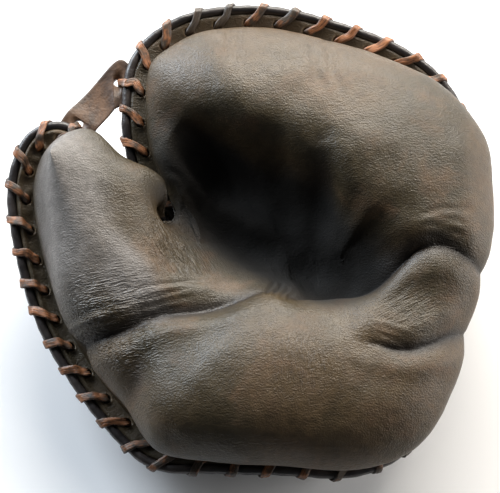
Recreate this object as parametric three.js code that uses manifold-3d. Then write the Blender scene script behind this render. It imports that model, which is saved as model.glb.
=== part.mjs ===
// A first baseman's mitt of dark padded leather, lying on its back with the palm up.
// Units are millimetres. +Z is up, +Y points from the wrist to the finger tips, -X to the thumb.
// The palm and the back meet at a flat laced edge, the rim. Both are lofted through sections that
// start at the rim and run inward to the pocket. The welt and the laces follow the same rim.

import * as THREE from "three";
import { mergeVertices } from "three/addons/utils/BufferGeometryUtils.js";
import Module from "manifold-3d";

const wasm = await Module();
wasm.setup();

// Driving dimensions
const RIM_WIDTH = 261; // across the laced edge, seen from above
const RIM_LENGTH = 260; // wrist to finger tips, along the laced edge
const RIM_HEIGHT = 63; // highest point of the laced edge above the table
const PAD_RISE = 50; // tallest padding above the laced edge
const PAD_OVERHANG = 10; // scale of how far the padding stands out past the laced edge
const POCKET_LENGTH = 76; // line along the bottom of the pocket
const POCKET_WIDTH = 8; // width of that line
const POCKET_FLOOR = 42; // height of the leather at the bottom of the pocket
const THUMB_STEP = 22; // how much higher that line ends at the thumb
const SIDE_STEP = 5; // and at the side
const PAD_AT_POCKET = 11; // thickness of the palm at the bottom of the pocket
const PAD_AT_THUMB = 20; // and at the thumb end of the pocket line
const THUMB_CREST = 23; // rise of the thumb's crest from there to its tip
const THUMB_LIFT = 24; // height of the back of the thumb's tip above the table
const LEATHER = 2.2; // palm and back leather
const FLANGE_WIDTH = 9.5; // flat margin outside the padding
const HOLE_INSET = 5.6; // lace holes, in from the edge of the margin
const HOLE_RADIUS = 3.0;
const WELT_RADIUS = 2.5; // rolled leather cord outside the edge
const LACE_WIDTH = 4.6;
const LACE_THICKNESS = 1.5;
const STITCH_PITCH = 18.6;
const CLEARANCE = 0.3; // between pieces that touch
const STRAP_WIDTH = 19; // web strap between the thumb and the fingers
const STRAP_THICKNESS = 2.8;
const STRAP_TUCK = 7; // from a strap hole in to the tip under the welt
const STRAP_SAG = 2;
const HAND_HOLE_WIDTH = 88; // half-moon hole in the back, over the back of the hand
const HAND_HOLE_DEPTH = 44;
const WRIST_BAND = 34; // leather left between that hole and the wrist edge
const WRIST_INSET = 9; // wrist edge of the back, in from the rim
const WRIST_LIFT = 3; // height of that edge above the table
const CORNER_RUN = 34; // length over which the back drops from the rim to the wrist edge

// Mesh fineness
const CROTCH_SECTIONS = 7; // sections between the last stitch of the thumb and the first finger one
const PAD_ROWS = [1, 1, 2, 2, 3, 2]; // rows between the control points of a palm section
const LINING_ROWS = [1, 1];
const WELT_SIDES = 6;
const HOLE_SIDES = 6;
const RIM_SAMPLES = 1920;

// Sections round the rim, clockwise from above, from the finger side of the crotch.
// x, y, z: place of the rim, as shares of RIM_WIDTH, RIM_LENGTH and RIM_HEIGHT
// tilt: slope of the flat margin in degrees, positive where it climbs inward
// bulge: how far the padding stands out past the rim, as a share of PAD_OVERHANG
// rise: height of the padding above the rim, as a share of PAD_RISE
// crown, slope: where the padding is highest and where it falls, as shares of the way to the pocket
// keep: share of the padding's height above the pocket that is left at slope
// aim: the point of the pocket line that the section runs to, in degrees round it
// reach: how far up the thumb's crest it ends instead, as a share of THUMB_SPINE
const STATIONS = table(
  ["name", "x", "y", "z", "tilt", "bulge", "rise", "crown", "slope", "keep", "aim", "reach"],
  [
    ["crotch_finger", -0.161, 0.036, 0.6, 0, -0.8, 0.32, 0.6, 0.82, 0.35, 139, 0],
    ["finger_inner_low", -0.202, 0.085, 0.68, 0, -0.9, 0.22, 0.24, 0.55, 0.4, 116, 0],
    ["finger_inner_mid", -0.241, 0.177, 0.79, 0, -0.9, 0.24, 0.16, 0.5, 0.34, 94, 0],
    ["finger_inner_top", -0.254, 0.266, 0.89, -4, -0.9, 0.3, 0.2, 0.5, 0.28, 80, 0],
    ["strap_corner", -0.243, 0.375, 0.95, -12, -0.9, 0.42, 0.28, 0.55, 0.3, 71, 0],
    ["finger_tip_left", -0.192, 0.444, 0.98, -20, -1.3, 0.5, 0.34, 0.6, 0.32, 65, 0],
    ["finger_top_left", -0.1, 0.489, 1, -24, -1.5, 0.56, 0.42, 0.65, 0.36, 60, 0],
    ["finger_top", 0.043, 0.501, 0.98, -25, -1.6, 0.56, 0.48, 0.7, 0.33, 55, 0],
    ["finger_top_right", 0.184, 0.47, 0.95, -24, -1.6, 0.6, 0.56, 0.76, 0.33, 48, 0],
    ["finger_right", 0.329, 0.416, 0.89, -20, -1.3, 0.68, 0.62, 0.8, 0.36, 39, 0],
    ["shoulder", 0.428, 0.335, 0.81, -14, -0.5, 0.74, 0.64, 0.82, 0.4, 28, 0],
    ["side_top", 0.484, 0.206, 0.71, -8, 0.6, 0.82, 0.62, 0.82, 0.42, 15, 0],
    ["side_upper", 0.487, 0.084, 0.62, -4, 0.9, 0.9, 0.5, 0.76, 0.42, 2, 0],
    ["side_mid", 0.47, -0.061, 0.56, 0, 0.9, 0.94, 0.34, 0.66, 0.45, -14, 0],
    ["side_crease", 0.428, -0.199, 0.51, 0, 0.9, 0.88, 0.38, 0.66, 0.55, -31, 0],
    ["heel_right", 0.384, -0.327, 0.48, 0, 1.1, 0.96, 0.38, 0.72, 0.6, -44, 0],
    ["heel_right_corner", 0.322, -0.438, 0.48, 2, 0.9, 0.98, 0.4, 0.78, 0.62, -54, 0],
    ["heel_bottom_right", 0.216, -0.49, 0.49, 4, 0.6, 1, 0.42, 0.8, 0.64, -63, 0],
    ["heel_bottom", 0.077, -0.487, 0.51, 4, 0.5, 1, 0.43, 0.82, 0.64, -74, 0],
    ["heel_bottom_left", -0.067, -0.483, 0.51, 4, 0.4, 0.98, 0.43, 0.82, 0.62, -86, 0],
    ["heel_left_corner", -0.185, -0.475, 0.49, 2, -0.1, 0.92, 0.42, 0.8, 0.62, -99, 0],
    ["heel_left", -0.27, -0.407, 0.49, 0, -0.8, 0.84, 0.5, 0.8, 0.6, -115, 0],
    ["thumb_base", -0.358, -0.297, 0.52, -2, -0.9, 0.76, 0.52, 0.8, 0.7, -132, 0],
    ["thumb_low", -0.429, -0.177, 0.57, -4, -1.0, 0.82, 0.55, 0.8, 0.9, -145, 0.25],
    ["thumb_side", -0.476, -0.036, 0.67, -8, -1.4, 0.8, 0.6, 0.84, 0.97, -160, 0.6],
    ["thumb_upper", -0.497, 0.102, 0.79, -12, -1.7, 0.7, 0.62, 0.86, 1, -168, 0.85],
    ["thumb_tip_left", -0.469, 0.197, 0.89, -14, -1.8, 0.61, 0.66, 0.88, 1, -175, 0.97],
    ["thumb_tip", -0.413, 0.226, 0.94, -10, -1.5, 0.56, 0.7, 0.9, 1, -180, 1],
    ["thumb_tip_right", -0.357, 0.202, 0.9, -4, 0.2, 0.59, 0.66, 0.88, 1, -185, 0.93],
    ["thumb_inner", -0.308, 0.128, 0.79, 0, 0.9, 0.67, 0.62, 0.86, 1, -190, 0.75],
    ["thumb_inner_low", -0.251, 0.05, 0.68, 0, 1.0, 0.72, 0.62, 0.86, 1, -196, 0.5],
    ["crotch_thumb", -0.21, -0.003, 0.6, 0, 0.2, 0.68, 0.65, 0.86, 1, -203, 0.22],
  ],
);

// Centre of the pocket line, as shares of RIM_WIDTH and RIM_LENGTH
const POCKET_CENTRE = { x: 0.015, y: -0.087 };

// The thumb's crest bends round one corner to its tip. Both are measured from the thumb end of the
// pocket line, in the same shares.
const THUMB_SPINE = { corner: { x: -0.222, y: 0.031 }, tip: { x: -0.28, y: 0.223 } };

// Main folds of the palm leather. depth and width are shares of PAD_RISE, a negative depth stands
// proud, and power is 1 for a sharp crease and 2 for a soft hollow. path is in shares of the rim.
const FOLDS = [
  {
    name: "thumb_crease",
    depth: 0.15,
    width: 0.15,
    power: 1,
    path: [[-0.41, -0.262], [-0.282, -0.243], [-0.2, -0.206], [-0.084, -0.184], [0.058, -0.131]],
  },
  {
    name: "pocket_crease",
    depth: 0.16,
    width: 0.16,
    power: 1,
    path: [[0.1, -0.15], [0.176, -0.12], [0.24, -0.118], [0.31, -0.088], [0.4, -0.066], [0.49, -0.102]],
  },
  {
    name: "side_crease",
    depth: 0.1,
    width: 0.14,
    power: 1,
    path: [[0.251, -0.276], [0.331, -0.284], [0.475, -0.22]],
  },
  {
    name: "notch_channel",
    depth: 0.15,
    width: 0.22,
    power: 2,
    path: [[-0.165, 0.075], [-0.09, 0.035], [-0.003, -0.015], [0.065, -0.055], [0.13, -0.09]],
  },
  {
    name: "web_ridge",
    depth: -0.08,
    width: 0.2,
    power: 2,
    path: [[-0.209, 0.202], [-0.101, 0.086], [-0.016, 0.035], [0.079, -0.031]],
  },
  {
    name: "web_valley",
    depth: 0.12,
    width: 0.2,
    power: 2,
    path: [[-0.176, 0.22], [-0.048, 0.118], [0.048, 0.048], [0.111, -0.058]],
  },
  {
    name: "finger_valley",
    depth: 0.09,
    width: 0.18,
    power: 2,
    path: [[0.147, 0.148], [0.148, 0.04], [0.138, -0.063]],
  },
];

// Lace strands, each from one station to another, and whether it also goes through the back
const STRANDS = [
  { name: "lace_fingers", from: "crotch_finger", to: "heel_right_corner", joinsBack: true },
  { name: "lace_heel", from: "heel_right_corner", to: "heel_left_corner", joinsBack: false },
  { name: "lace_thumb", from: "heel_left_corner", to: "thumb_inner_low", joinsBack: true },
];
const STRAP_THUMB_STITCH = { strand: "lace_thumb", fromEnd: 3 };
const STRAP_FINGER_STITCH = { strand: "lace_fingers", index: 4 };

// Heights above the middle plane of the margin
const FLANGE_BOTTOM = CLEARANCE / 2;
const FLANGE_TOP = FLANGE_BOTTOM + LEATHER;
const WELT_AXIS = -(WELT_RADIUS + CLEARANCE);
const LACE_OVER_FLANGE = FLANGE_TOP + CLEARANCE + LACE_THICKNESS / 2;
const WRAP_POINTS = 4;
const WRAP_STEP = Math.PI / (WRAP_POINTS - 1);
const WRAP_RADIUS = (WELT_RADIUS + CLEARANCE + LACE_THICKNESS / 2) / Math.cos(WRAP_STEP / 2);
const STRAP_TOP = -(WELT_RADIUS + 2 * CLEARANCE);
const STRAP_BOTTOM = STRAP_TOP - STRAP_THICKNESS;
const LACE_UNDER_STRAP = STRAP_BOTTOM - 2 * CLEARANCE - LACE_THICKNESS / 2;
const STRAP_HOLE_OUT = WELT_AXIS - WRAP_RADIUS - LACE_THICKNESS / 2;

// Shares of the pitch along the rim
const STITCH_LEAN = 0.24; // lean of a stitch on the palm side
const WRAP_LEAN = 0.04; // further lean at each point round the welt
const START_TAIL = -0.28;
const END_TAIL = 0.48;

const DARK_LEATHER = material("palm_leather", 0x3a2b20, 0.5);
const BACK_LEATHER = material("back_leather", 0x33261c, 0.62);
const WELT_LEATHER = material("welt_leather", 0x241b17, 0.45);
const LACE_LEATHER = material("lace_leather", 0x7a4a2a, 0.55);
const STRAP_LEATHER = material("strap_leather", 0x6e4222, 0.55);

function material(name, color, roughness) {
  return new THREE.MeshStandardMaterial({ name, color, roughness, metalness: 0 });
}

function table(columns, rows) {
  return rows.map((row) => Object.fromEntries(columns.map((column, i) => [column, row[i]])));
}

// Catmull-Rom value of one column of the stations; t counts stations and wraps round the rim
function columnAt(t, column) {
  const count = STATIONS.length;
  const first = Math.floor(t);
  const f = t - first;
  const value = (i) => {
    const turns = Math.floor(i / count);
    return STATIONS[i - turns * count][column] - (column === "aim" ? 360 * turns : 0);
  };
  const [a, b, c, d] = [first - 1, first, first + 1, first + 2].map(value);
  return b + 0.5 * f * (c - a + f * (2 * a - 5 * b + 4 * c - d + f * (3 * (b - c) + d - a)));
}

function rimPoint(t) {
  const x = columnAt(t, "x") * RIM_WIDTH;
  const y = columnAt(t, "y") * RIM_LENGTH;
  return new THREE.Vector3(x, y, columnAt(t, "z") * RIM_HEIGHT);
}

// Length of the rim up to each sample, to space sections and stitches evenly
const RIM_LENGTHS = [0];
for (let i = 1; i <= RIM_SAMPLES; i++) {
  const t = (k) => (k * STATIONS.length) / RIM_SAMPLES;
  RIM_LENGTHS.push(RIM_LENGTHS[i - 1] + rimPoint(t(i)).distanceTo(rimPoint(t(i - 1))));
}
const PERIMETER = RIM_LENGTHS[RIM_SAMPLES];

function lengthAtStation(name) {
  const index = STATIONS.findIndex((station) => station.name === name);
  return RIM_LENGTHS[Math.round((index * RIM_SAMPLES) / STATIONS.length)];
}

function stationAtLength(length) {
  const turns = Math.floor(length / PERIMETER);
  const rest = length - turns * PERIMETER;
  const after = RIM_LENGTHS.findIndex((reached) => reached > rest);
  const [low, high] = [RIM_LENGTHS[after - 1], RIM_LENGTHS[after]];
  const sample = after - 1 + (rest - low) / (high - low);
  return (sample * STATIONS.length) / RIM_SAMPLES + turns * STATIONS.length;
}

// Local frame of the rim at a length along it: along it, across the margin and up from the margin
function frameAt(length) {
  const t = stationAtLength(length);
  const reach = 0.02;
  const along = rimPoint(t + reach).sub(rimPoint(t - reach)).normalize();
  const inward = new THREE.Vector3(along.y, -along.x, 0).normalize();
  const level = new THREE.Vector3().crossVectors(inward, along);
  const tilt = THREE.MathUtils.degToRad(columnAt(t, "tilt"));
  const across = inward.clone().multiplyScalar(Math.cos(tilt));
  across.addScaledVector(level, Math.sin(tilt));
  const up = level.multiplyScalar(Math.cos(tilt)).addScaledVector(inward, -Math.sin(tilt));
  return { length, t, rim: rimPoint(t), along, inward, across, up };
}

function edgePoint(frame, distance, height) {
  const point = frame.rim.clone().addScaledVector(frame.across, distance);
  return point.addScaledVector(frame.up, height);
}

// Point of the pocket line or the thumb's crest that a section runs to, on the palm's surface
function pocketPoint(t) {
  const aim = THREE.MathUtils.degToRad(columnAt(t, "aim"));
  const reach = THREE.MathUtils.clamp(columnAt(t, "reach"), 0, 1);
  const { corner, tip } = THUMB_SPINE;
  const spine = (axis) => 2 * reach * (1 - reach) * corner[axis] + reach ** 2 * tip[axis];
  const x = (POCKET_CENTRE.x + spine("x")) * RIM_WIDTH + (POCKET_LENGTH / 2) * Math.cos(aim);
  const y = (POCKET_CENTRE.y + spine("y")) * RIM_LENGTH + (POCKET_WIDTH / 2) * Math.sin(aim);
  const height = pocketFloor((1 + Math.cos(aim)) / 2) + THUMB_CREST * reach ** 0.7;
  return new THREE.Vector3(x, y, height);
}

// Bends of the back in a section, as shares of the way in and of the height that is left
const BACK_BENDS = [[0.1, 0.42], [0.4, 0]];

// Height of the pocket line, from its thumb end at 0 to its side end at 1
function pocketFloor(share) {
  const [thumbEnds, sideStarts] = [0.65, 0.75];
  const thumb = Math.max(0, (thumbEnds - share) / thumbEnds) ** 1.2;
  const side = Math.max(0, (share - sideStarts) / (1 - sideStarts)) ** 2;
  return POCKET_FLOOR + THUMB_STEP * thumb + SIDE_STEP * side;
}

function towards(from, to, share, height) {
  return from.clone().lerp(to, share).setZ(height);
}

// Points along a curve through controls, with a number of rows between each two of them
function rowsThrough(controls, rows) {
  const curve = new THREE.CatmullRomCurve3(controls, false, "centripetal");
  const points = [controls[0].clone()];
  rows.forEach((count, i) => {
    for (let k = 1; k <= count; k++) {
      points.push(curve.getPoint((i + k / count) / rows.length));
    }
  });
  return points;
}

// Upper surface of the palm in one section, from the edge of the margin in to the pocket line
function palmSurface(frame) {
  const { t, rim, inward } = frame;
  const rise = columnAt(t, "rise") * PAD_RISE;
  const top = rim.z + rise;
  const foot = edgePoint(frame, FLANGE_WIDTH, FLANGE_TOP);
  const pocket = pocketPoint(t);
  const lip = foot.clone().addScaledVector(inward, 0.4);
  lip.z += 1 + 0.15 * rise;
  const out = columnAt(t, "bulge") * PAD_OVERHANG + FLANGE_WIDTH;
  const side = foot.clone().addScaledVector(inward, -out).setZ(rim.z + 0.48 * rise);
  const crown = towards(foot, pocket, columnAt(t, "crown"), top);
  const shoulder = towards(side, crown, 0.26, rim.z + 0.86 * rise);
  const left = columnAt(t, "keep") * (top - pocket.z);
  const slope = towards(foot, pocket, columnAt(t, "slope"), pocket.z + left);
  const controls = [foot, lip, side, shoulder, crown, slope, pocket];
  return [edgePoint(frame, 0, FLANGE_TOP), ...rowsThrough(controls, PAD_ROWS)];
}

// Under surface of the palm in one section: the roof of the room for the hand
function palmLining(frame) {
  const pocket = pocketPoint(frame.t);
  const share = (pocket.z - POCKET_FLOOR) / THUMB_STEP;
  const thickness = THREE.MathUtils.lerp(PAD_AT_POCKET, PAD_AT_THUMB, share);
  const roof = pocket.clone().setZ(pocket.z - thickness);
  const foot = edgePoint(frame, FLANGE_WIDTH, FLANGE_BOTTOM);
  const middle = towards(foot, roof, 0.4, THREE.MathUtils.lerp(foot.z, roof.z, 0.7));
  return [edgePoint(frame, 0, FLANGE_BOTTOM), ...rowsThrough([foot, middle, roof], LINING_ROWS)];
}

// 0 where the back is laced to the palm and 1 where it is let down for the wrist
function wristShare(length) {
  const from = lengthAtStation("heel_right_corner");
  const to = lengthAtStation("heel_left_corner");
  const step = (x) => THREE.MathUtils.smoothstep(x, 0, CORNER_RUN);
  return step(length - from) * step(to - length);
}

// Outer surface of the back in one section, from its edge in to where it lies flat, and the inner one
function backSurfaces(frame) {
  const wrist = wristShare(frame.length);
  const reach = THREE.MathUtils.clamp(columnAt(frame.t, "reach"), 0, 1);
  const lowest = THUMB_LIFT * reach ** 2;
  const pocket = pocketPoint(frame.t).setZ(lowest);
  const laced = [0, FLANGE_WIDTH].map((d) => edgePoint(frame, d, -FLANGE_TOP));
  const freed = [0, FLANGE_WIDTH].map((d, i) => {
    const point = frame.rim.clone().addScaledVector(frame.inward, WRIST_INSET + d);
    return point.setZ(WRIST_LIFT * (1 - i));
  });
  const [edge, foot] = laced.map((point, i) => point.lerp(freed[i], wrist));
  const bends = BACK_BENDS.map(([share, height]) =>
    towards(foot, pocket, share, THREE.MathUtils.lerp(lowest, foot.z, height)),
  );
  const outer = [edge, foot, ...bends, pocket];
  return { outer, inner: outer.map((point, i) => thickened(outer, i, frame, wrist)) };
}

// The point of the inner surface that belongs to one point of the outer surface
function thickened(outer, i, frame, wrist) {
  if (i >= outer.length - 2) {
    return outer[i].clone().add(new THREE.Vector3(0, 0, LEATHER));
  }
  const run = outer[i + 1].clone().sub(outer[Math.max(i - 1, 0)]);
  const sideways = new THREE.Vector3(-run.y, run.x, 0);
  const normal = run.cross(sideways).normalize();
  if (i < 2) {
    normal.lerp(frame.up, 1 - wrist).normalize();
  }
  return outer[i].clone().addScaledVector(normal, LEATHER);
}

// Distance in plan from a point to a path of plan points, and where along the path it is nearest
function nearestOnPath(point, path) {
  let best = { distance: Infinity, share: 0 };
  const at = new THREE.Vector3(point.x, point.y, 0);
  for (let i = 0; i + 1 < path.length; i++) {
    const line = new THREE.Line3(path[i], path[i + 1]);
    const f = line.closestPointToPointParameter(at, true);
    const distance = line.at(f, new THREE.Vector3()).distanceTo(at);
    if (distance < best.distance) {
      best = { distance, share: (i + f) / (path.length - 1) };
    }
  }
  return best;
}

const FOLD_PATHS = FOLDS.map((fold) => {
  const points = fold.path.map(([x, y]) => new THREE.Vector3(x * RIM_WIDTH, y * RIM_LENGTH, 0));
  return new THREE.CatmullRomCurve3(points, false, "centripetal").getPoints(12);
});

// How deep the folds press the palm's surface in at a point
function foldDepth(point) {
  return FOLDS.reduce((sum, fold, i) => {
    const { distance, share } = nearestOnPath(point, FOLD_PATHS[i]);
    const ends = Math.sin(Math.PI * THREE.MathUtils.clamp(share, 0.12, 0.88)) ** 0.5;
    const across = Math.exp(-((distance / (fold.width * PAD_RISE)) ** fold.power));
    return sum + fold.depth * PAD_RISE * ends * across;
  }, 0);
}

// Presses the folds into the upper surface, along its normals
function pressFolds(surface) {
  const count = surface.length;
  const rows = surface[0].length;
  const settle = 3; // rows from the margin over which the folds come in
  return surface.map((section, i) => {
    const [before, after] = [surface[(i + count - 1) % count], surface[(i + 1) % count]];
    return section.map((point, k) => {
      const weight = THREE.MathUtils.clamp((k - 1) / settle, 0, 1);
      const inward = section[Math.min(k + 1, rows - 1)].clone().sub(section[Math.max(k - 1, 0)]);
      const along = after[k].clone().sub(before[k]);
      const normal = inward.cross(along).normalize();
      return point.clone().addScaledVector(normal, -weight * foldDepth(point));
    });
  });
}

// Closed mesh between two surfaces, whose sections run from the edge in to the middle. The upper
// and the lower side are cut into triangles alike, so that pieces that touch run parallel. Each
// stitch has a hole in the margin, between its two sections.
function loft(upper, lower, stitches) {
  const sections = upper.map((section, i) => [...section].reverse().concat(lower[i]));
  const points = sections.flat();
  const triangles = [];
  const rows = sections[0].length;
  const edge = upper[0].length - 1;
  const holed = stitches.map((stitch) => 2 * STITCHES.indexOf(stitch));
  sections.forEach((_, i) => {
    const [here, next] = [i * rows, ((i + 1) % sections.length) * rows];
    for (let k = 0; k + 1 < rows; k++) {
      const [a, b, c, d] = [here + k, next + k, here + k + 1, next + k + 1];
      if (!holed.includes(i) || Math.abs(k - edge) !== 1) {
        triangles.push(...(k < edge ? [a, b, d, a, d, c] : [a, b, c, b, d, c]));
      }
    }
  });
  holed.forEach((i, s) => {
    const [here, next] = [i * rows + edge, (i + 1) * rows + edge];
    const outline = holeOutline(stitches[s]);
    const first = points.length;
    addHoledCell(points, triangles, [here, next, next - 1, here - 1], outline, true);
    addHoledCell(points, triangles, [here + 1, next + 1, next + 2, here + 2], outline, false);
    for (let k = 0; k < HOLE_SIDES; k++) {
      const [a, b] = [first + k, first + ((k + 1) % HOLE_SIDES)];
      triangles.push(a, a + HOLE_SIDES, b, b, a + HOLE_SIDES, b + HOLE_SIDES);
    }
  });
  for (const [row, isUp] of [[0, true], [rows - 1, false]]) {
    const ring = sections.map((section) => section[row]);
    triangles.push(...zippedFaces(ring, isUp).map((i) => i * rows + row));
  }
  return shell(points, triangles);
}

// Triangles across a long narrow ring of points, zipped up from its end with the largest x
function zippedFaces(ring, isUp) {
  const at = (i) => (i + ring.length) % ring.length;
  const start = ring.reduce((best, point, i) => (point.x > ring[best].x ? i : best), 0);
  const faces = [];
  let [left, right] = [start, start];
  while (right - left < ring.length - 1) {
    const rightward = ring[at(right + 1)].distanceTo(ring[at(left)]);
    const leftward = ring[at(left - 1)].distanceTo(ring[at(right)]);
    const tip = rightward < leftward ? right + 1 : left - 1;
    if (left !== right) {
      faces.push(...(isUp ? [right, left, tip] : [left, right, tip]).map(at));
    }
    right = Math.max(right, tip);
    left = Math.min(left, tip);
  }
  return faces;
}

// Triangles of a flat outline with holes, as indices, facing up or down
function flatFaces(outline, holes, isUp) {
  const points = [...outline, ...holes.flat()];
  return THREE.ShapeUtils.triangulateShape(outline, holes).flatMap((face) => {
    const [a, b, c] = face.map((i) => points[i]);
    const facesUp = b.clone().sub(a).cross(c.clone().sub(a)) > 0;
    return facesUp === isUp ? face : [...face].reverse();
  });
}

// Outline of a stitch's hole, as shares of the margin between its two sections, along and across
function holeOutline({ length, pitch }) {
  const [before, after] = [length - pitch / 4, length + pitch / 4].map(frameAt);
  const [edge, foot] = [0, FLANGE_WIDTH].map((d) =>
    edgePoint(before, d, 0).distanceTo(edgePoint(after, d, 0)),
  );
  const radius = HOLE_RADIUS / Math.cos(Math.PI / HOLE_SIDES);
  return Array.from({ length: HOLE_SIDES }, (_, k) => {
    const angle = (2 * Math.PI * k) / HOLE_SIDES;
    const across = (HOLE_INSET + radius * Math.sin(angle)) / FLANGE_WIDTH;
    const width = THREE.MathUtils.lerp(edge, foot, across);
    const along = THREE.MathUtils.clamp((radius * Math.cos(angle)) / width, -0.45, 0.45);
    return new THREE.Vector2(0.5 + along, across);
  });
}

// One side of the margin round a hole. corners holds the two edge points and then the inner two.
function addHoledCell(points, triangles, corners, outline, isUp) {
  const [a, b, c, d] = corners.map((i) => points[i]);
  const ids = [...corners];
  for (const { x, y } of outline) {
    ids.push(points.length);
    points.push(a.clone().lerp(b, x).lerp(d.clone().lerp(c, x), y));
  }
  const square = [[0, 0], [1, 0], [1, 1], [0, 1]].map(([x, y]) => new THREE.Vector2(x, y));
  triangles.push(...flatFaces(square, [outline], !isUp).map((i) => ids[i]));
}

// Closed tube through rings of equal size. A ring goes round counter-clockwise, seen from ahead.
function tube(rings, isLoop) {
  const sides = rings[0].length;
  const triangles = [];
  const steps = isLoop ? rings.length : rings.length - 1;
  for (let i = 0; i < steps; i++) {
    const next = (i + 1) % rings.length;
    for (let k = 0; k < sides; k++) {
      const turn = (k + 1) % sides;
      const [a, b] = [i * sides + k, i * sides + turn];
      const [c, d] = [next * sides + k, next * sides + turn];
      triangles.push(a, b, d, a, d, c);
    }
  }
  const last = (rings.length - 1) * sides;
  for (let k = 1; !isLoop && k + 1 < sides; k++) {
    triangles.push(0, k + 1, k, last, last + k, last + k + 1);
  }
  return shell(rings.flat(), triangles);
}

function shell(points, triangles) {
  const geometry = new THREE.BufferGeometry().setFromPoints(points);
  geometry.setIndex(triangles);
  return geometry;
}

function toSolid(geometry) {
  geometry.deleteAttribute("normal");
  geometry.deleteAttribute("uv");
  const merged = mergeVertices(geometry, 1e-4);
  const vertProperties = new Float32Array(merged.attributes.position.array);
  const triVerts = new Uint32Array(merged.index.array);
  return new wasm.Manifold(new wasm.Mesh({ numProp: 3, vertProperties, triVerts }));
}

function toMesh(name, solid, look) {
  const { vertProperties, triVerts } = solid.getMesh();
  const geometry = new THREE.BufferGeometry();
  geometry.setAttribute("position", new THREE.BufferAttribute(vertProperties, 3));
  geometry.setIndex(new THREE.BufferAttribute(triVerts, 1));
  const mesh = new THREE.Mesh(geometry, look);
  mesh.name = name;
  return mesh;
}

// Cuts a lace hole through a solid, square to the margin at a distance from the rim
function drill(solid, frame, distance, reach) {
  const cutter = new THREE.CylinderGeometry(HOLE_RADIUS, HOLE_RADIUS, reach, HOLE_SIDES);
  cutter.scale(1 / Math.cos(Math.PI / HOLE_SIDES), 1, 1 / Math.cos(Math.PI / HOLE_SIDES));
  const back = frame.across.clone().negate();
  const axes = new THREE.Matrix4().makeBasis(back, frame.up, frame.along);
  cutter.applyMatrix4(axes.setPosition(edgePoint(frame, distance, 0)));
  return solid.subtract(toSolid(cutter));
}

// The stitches of a strand, each with the length along the rim of its hole
const STITCHES = STRANDS.flatMap((strand) => {
  const from = lengthAtStation(strand.from);
  const to = lengthAtStation(strand.to);
  const run = to > from ? to - from : to + PERIMETER - from;
  const count = Math.round(run / STITCH_PITCH);
  const pitch = run / count;
  return Array.from({ length: count }, (_, index) => {
    const length = from + (index + 0.5) * pitch;
    return { strand, index, fromEnd: count - 1 - index, pitch, length };
  });
});

function stitchOf({ strand, index, fromEnd }) {
  return STITCHES.find((stitch) => {
    const place = index === undefined ? stitch.fromEnd === fromEnd : stitch.index === index;
    return stitch.strand.name === strand && place;
  });
}

const STRAP_STITCHES = [STRAP_THUMB_STITCH, STRAP_FINGER_STITCH].map(stitchOf);

// Two sections to each stitch, one on each side of its hole, and some round the crotch
function sectionFrames() {
  const lengths = STITCHES.flatMap(({ length, pitch }) => [length - pitch / 4, length + pitch / 4]);
  const crotch = lengthAtStation("thumb_inner_low");
  for (let i = 0; i < CROTCH_SECTIONS; i++) {
    lengths.push(crotch + ((PERIMETER - crotch) * i) / (CROTCH_SECTIONS - 1));
  }
  return lengths.map(frameAt);
}

const FRAMES = sectionFrames();

function makePalm() {
  const upper = pressFolds(FRAMES.map(palmSurface));
  const palm = loft(upper, FRAMES.map(palmLining), STITCHES);
  return toMesh("palm_pad", toSolid(palm), DARK_LEATHER);
}

function makeBack() {
  const surfaces = FRAMES.map(backSurfaces);
  const inner = surfaces.map((surface) => surface.inner);
  const outer = surfaces.map((surface) => surface.outer);
  const back = loft(inner, outer, STITCHES.filter(({ strand }) => strand.joinsBack));
  const solid = toSolid(back).subtract(toSolid(handHole()));
  return toMesh("back_panel", solid, BACK_LEATHER);
}

// Half-moon with its flat side to the wrist, as a prism through the back
function handHole() {
  const points = [];
  const steps = 24;
  for (let i = 0; i < steps; i++) {
    const angle = (2 * Math.PI * i) / steps;
    const height = Math.sin(angle) * (Math.sin(angle) > 0 ? 1 : 0.16);
    const x = (HAND_HOLE_WIDTH / 2) * Math.cos(angle);
    points.push(new THREE.Vector2(x, HAND_HOLE_DEPTH * height));
  }
  const depth = 4 * LEATHER;
  const prism = new THREE.ExtrudeGeometry(new THREE.Shape(points), { depth, bevelEnabled: false });
  const wristEdge = frameAt(lengthAtStation("heel_bottom")).rim.y + WRIST_INSET;
  return prism.translate(0, wristEdge + WRIST_BAND, -LEATHER);
}

function makeWelt() {
  const rings = FRAMES.map((frame) =>
    Array.from({ length: WELT_SIDES }, (_, k) => {
      const angle = (2 * Math.PI * k) / WELT_SIDES;
      const distance = WELT_AXIS + WELT_RADIUS * Math.sin(angle);
      return edgePoint(frame, distance, WELT_RADIUS * Math.cos(angle));
    }),
  );
  return toMesh("edge_welt", toSolid(tube(rings, true)), WELT_LEATHER);
}

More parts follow.
